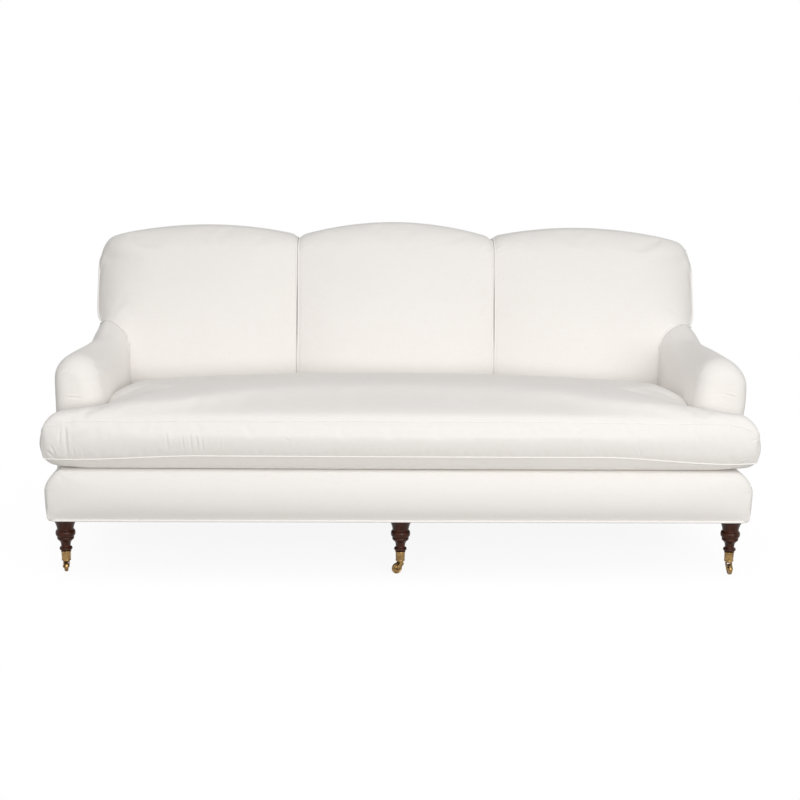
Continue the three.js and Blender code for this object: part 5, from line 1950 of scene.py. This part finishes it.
def base_path():
    """Round the lower edge of the base."""
    low = UNDERSIDE - BASE_PIPING_DROP
    half = BASE_HALF - BASE_FOOT_INSET
    outer = ARM_OUTER - BASE_FOOT_INSET
    rear = rear_plane(UNDERSIDE) + PANEL_THICKNESS / 2
    front = FRONT + BORDER_NOSE * 0.25
    corner = BORDER_NOSE
    right = [
        (half - corner, front), (half - 0.3 * corner, front + 0.3 * corner), (half, front + corner),
        (half, ARM_FRONT), (outer, ARM_FRONT + BASE_ARM_CORNER), (outer, rear - BASE_REAR_CORNER),
        (outer - BASE_REAR_CORNER, rear)]
    left = [(-x, y) for x, y in reversed(right)]
    return [(x, y, low) for x, y in left[-1:] + right + left[:-1]]


def back_panel_path():
    """Round the sides and top of the outside back."""
    sides = [back_panel_place(1, up, 0.5) for up in np.linspace(0.01, 0.995, 60)]
    top = [back_panel_place(across, 1, 0.5) for across in np.linspace(0.995, 0.005, 220)]
    return sides + top + [Vector((-point.x, point.y, point.z)) for point in reversed(sides)]


class SOFA_OT_piping(bpy.types.Operator):
    """Sew piping along the seams of the back, the arms and the base"""

    bl_idname = "sofa.piping"
    bl_label = "Piping"

    def execute(self, context):
        radius = context.scene.sofa_fabric.piping_diameter / 2
        seams = [(seam_path(side, away, radius), False) for side in (-1, 1) for away in (-1, 1)]
        piping("back_seam_piping", seams, "frame")
        edges = []
        for side in (-1, 1):
            edges.append((outer_edge_path(side), False))
            edges.append((arm_joint_path(side, 1.2 * radius), False))
        piping("back_edge_piping", edges, "frame")
        piping("back_pleats", pleat_paths(), "frame", 0.8, PLEAT_TAPER)
        piping("base_piping", [(base_path(), True)], "frame", 1.1)
        piping("outside_back_piping", [(back_panel_path(), False)], "frame")
        return {"FINISHED"}


# Finishes and stage

class SOFA_OT_frame_finish(bpy.types.Operator):
    """Give the solids that stay in view their finishes"""

    bl_idname = "sofa.frame_finish"
    bl_label = "Frame Finish"

    def execute(self, context):
        finishes = {
            "frame_timber": "sawn_beech", "walnut_leg": "walnut_lacquer", "caster_brass": "aged_brass",
            "spring_steel": "spring_wire", "webbing": "jute_strap", "dust_cloth": "black_cambric",
            "linen": "deck_linen"}
        for part in record["subparts"]:
            node = frame["nodes"][part["node"]]
            node.data.materials.clear()
            node.data.materials.append(material(finishes[part["material_slot"]]))
        return {"FINISHED"}


def add_camera(stage):
    """The camera, placed from the sofa's base front."""
    yaw, pitch, roll = stage.yaw, stage.pitch, stage.roll
    forward = Vector((
        math.sin(yaw) * math.cos(pitch), math.cos(yaw) * math.cos(pitch), -math.sin(pitch)))
    level_right = Vector((math.cos(yaw), -math.sin(yaw), 0))
    level_up = level_right.cross(forward)
    right = level_right * math.cos(roll) + level_up * math.sin(roll)
    up = level_up * math.cos(roll) - level_right * math.sin(roll)
    data = bpy.data.cameras.new("camera")
    data.sensor_width = SENSOR_WIDTH
    data.lens = stage.lens
    camera = bpy.data.objects.new("camera", data)
    bpy.context.scene.collection.objects.link(camera)
    turn = Matrix((right, up, -forward)).transposed().to_4x4()
    place = Vector((stage.camera_side, FRONT - stage.camera_distance, stage.camera_height))
    camera.matrix_world = Matrix.Translation(place) @ turn
    bpy.context.scene.camera = camera


def add_lamp(name, place, size, power):
    """A rectangular lamp that faces the sofa's middle."""
    data = bpy.data.lights.new(name, "AREA")
    data.shape = "RECTANGLE"
    data.size, data.size_y = size
    data.energy = power
    lamp = bpy.data.objects.new(name, data)
    bpy.context.scene.collection.objects.link(lamp)
    aim = LAMP_AIM - Vector(place)
    lamp.matrix_world = Matrix.Translation(place) @ aim.to_track_quat("-Z", "Y").to_matrix().to_4x4()


def add_floor():
    """A pale floor that is white away from the sofa and keeps its shadow near it."""
    bm = bmesh.new()
    bmesh.ops.create_grid(bm, x_segments=1, y_segments=1, size=FLOOR_HALF)
    mesh = bpy.data.meshes.new("floor")
    bm.to_mesh(mesh)
    bm.free()
    floor = bpy.data.objects.new("floor", mesh)
    bpy.context.scene.collection.objects.link(floor)
    recipe = Recipe("floor")
    path = recipe.node("ShaderNodeLightPath")
    rays = ("Is Camera Ray", "Is Glossy Ray", "Is Transmission Ray")
    seen = recipe.clamp(sum((Value(recipe, path.outputs[name]) for name in rays), 0))
    x, y, _ = recipe.axes(recipe.place())
    distance = recipe.math("SQRT", x * x * SHADOW_LENGTH_SHARE + y * y)
    away = recipe.clamp((distance - SHADOW_REACH) / SHADOW_FADE)
    pale = recipe.node("ShaderNodeBsdfDiffuse", {}, {"Color": (0.25, 0.24, 0.22, 1)})
    shadowed = recipe.node("ShaderNodeBsdfDiffuse", {}, {"Color": (0.15, 0.15, 0.15, 1)})
    lift = recipe.node("ShaderNodeEmission", {}, {"Color": (1, 1, 1, 1), "Strength": 0.9})
    both = recipe.node("ShaderNodeAddShader", {}, {0: shadowed.outputs[0], 1: lift.outputs[0]})
    white = recipe.node("ShaderNodeEmission", {}, {"Color": (1, 1, 1, 1), "Strength": 1})
    near = recipe.node("ShaderNodeMixShader", {}, {0: away, 1: both.outputs[0], 2: white.outputs[0]})
    whole = recipe.node("ShaderNodeMixShader", {}, {0: seen, 1: pale.outputs[0], 2: near.outputs[0]})
    mesh.materials.append(recipe.finished(whole))
    floor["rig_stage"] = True


def light_room(stage):
    """Soft light from all round, in front of a white background."""
    recipe = Recipe("room", for_room=True)
    path = recipe.node("ShaderNodeLightPath")
    seen = recipe.math("MAXIMUM", path.outputs["Is Camera Ray"], path.outputs["Is Glossy Ray"])
    fill, white = (
        recipe.node("ShaderNodeBackground", {}, {"Color": (1, 1, 1, 1), "Strength": strength})
        for strength in (stage.fill_strength, 1))
    mix = recipe.node("ShaderNodeMixShader", {}, {0: seen, 1: fill.outputs[0], 2: white.outputs[0]})
    bpy.context.scene.world = recipe.finished(mix)


class SOFA_OT_stage(bpy.types.Operator):
    """Set up the camera, the floor and the lamps"""

    bl_idname = "sofa.stage"
    bl_label = "Stage"

    def execute(self, context):
        stage = context.scene.sofa_stage
        context.scene.view_settings.view_transform = "Standard"
        add_camera(stage)
        for name, (place, size, power) in LAMPS.items():
            add_lamp(name, place, size, getattr(stage, power))
        add_floor()
        light_room(stage)
        return {"FINISHED"}


class SOFA_PT_panel(bpy.types.Panel):
    """Lists the steps that build the sofa"""

    bl_idname = "SOFA_PT_panel"
    bl_label = "English Roll Arm Sofa"
    bl_space_type = "VIEW_3D"
    bl_region_type = "UI"
    bl_category = "Sofa"

    def draw(self, context):
        for operator in OPERATORS:
            self.layout.operator(operator.bl_idname)
        for group in (context.scene.sofa_fabric, context.scene.sofa_timber, context.scene.sofa_brass):
            for name in group.__annotations__:
                self.layout.prop(group, name)


OPERATORS = (
    SOFA_OT_stage, SOFA_OT_frame_finish, SOFA_OT_seat_cushion, SOFA_OT_back, SOFA_OT_arms,
    SOFA_OT_border, SOFA_OT_back_and_deck, SOFA_OT_piping, SOFA_OT_legs, SOFA_OT_casters)
GROUPS = {
    "sofa_fabric": SofaFabric, "sofa_timber": SofaTimber, "sofa_brass": SofaBrass,
    "sofa_stage": SofaStage}


def register():
    for group in GROUPS.values():
        bpy.utils.register_class(group)
    for name, group in GROUPS.items():
        setattr(bpy.types.Scene, name, bpy.props.PointerProperty(type=group))
    for operator in OPERATORS:
        bpy.utils.register_class(operator)
    bpy.utils.register_class(SOFA_PT_panel)


def unregister():
    bpy.utils.unregister_class(SOFA_PT_panel)
    for operator in reversed(OPERATORS):
        bpy.utils.unregister_class(operator)
    for name, group in GROUPS.items():
        delattr(bpy.types.Scene, name)
        bpy.utils.unregister_class(group)


def main():
    register()
    for operator in OPERATORS:
        group, name = operator.bl_idname.split(".")
        getattr(getattr(bpy.ops, group), name)()
    boxes = {"solids": solid_box, "dressed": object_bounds()}
    {name: [list(corner) for corner in box] for name, box in boxes.items()}


if __name__ == "__main__":
    main()
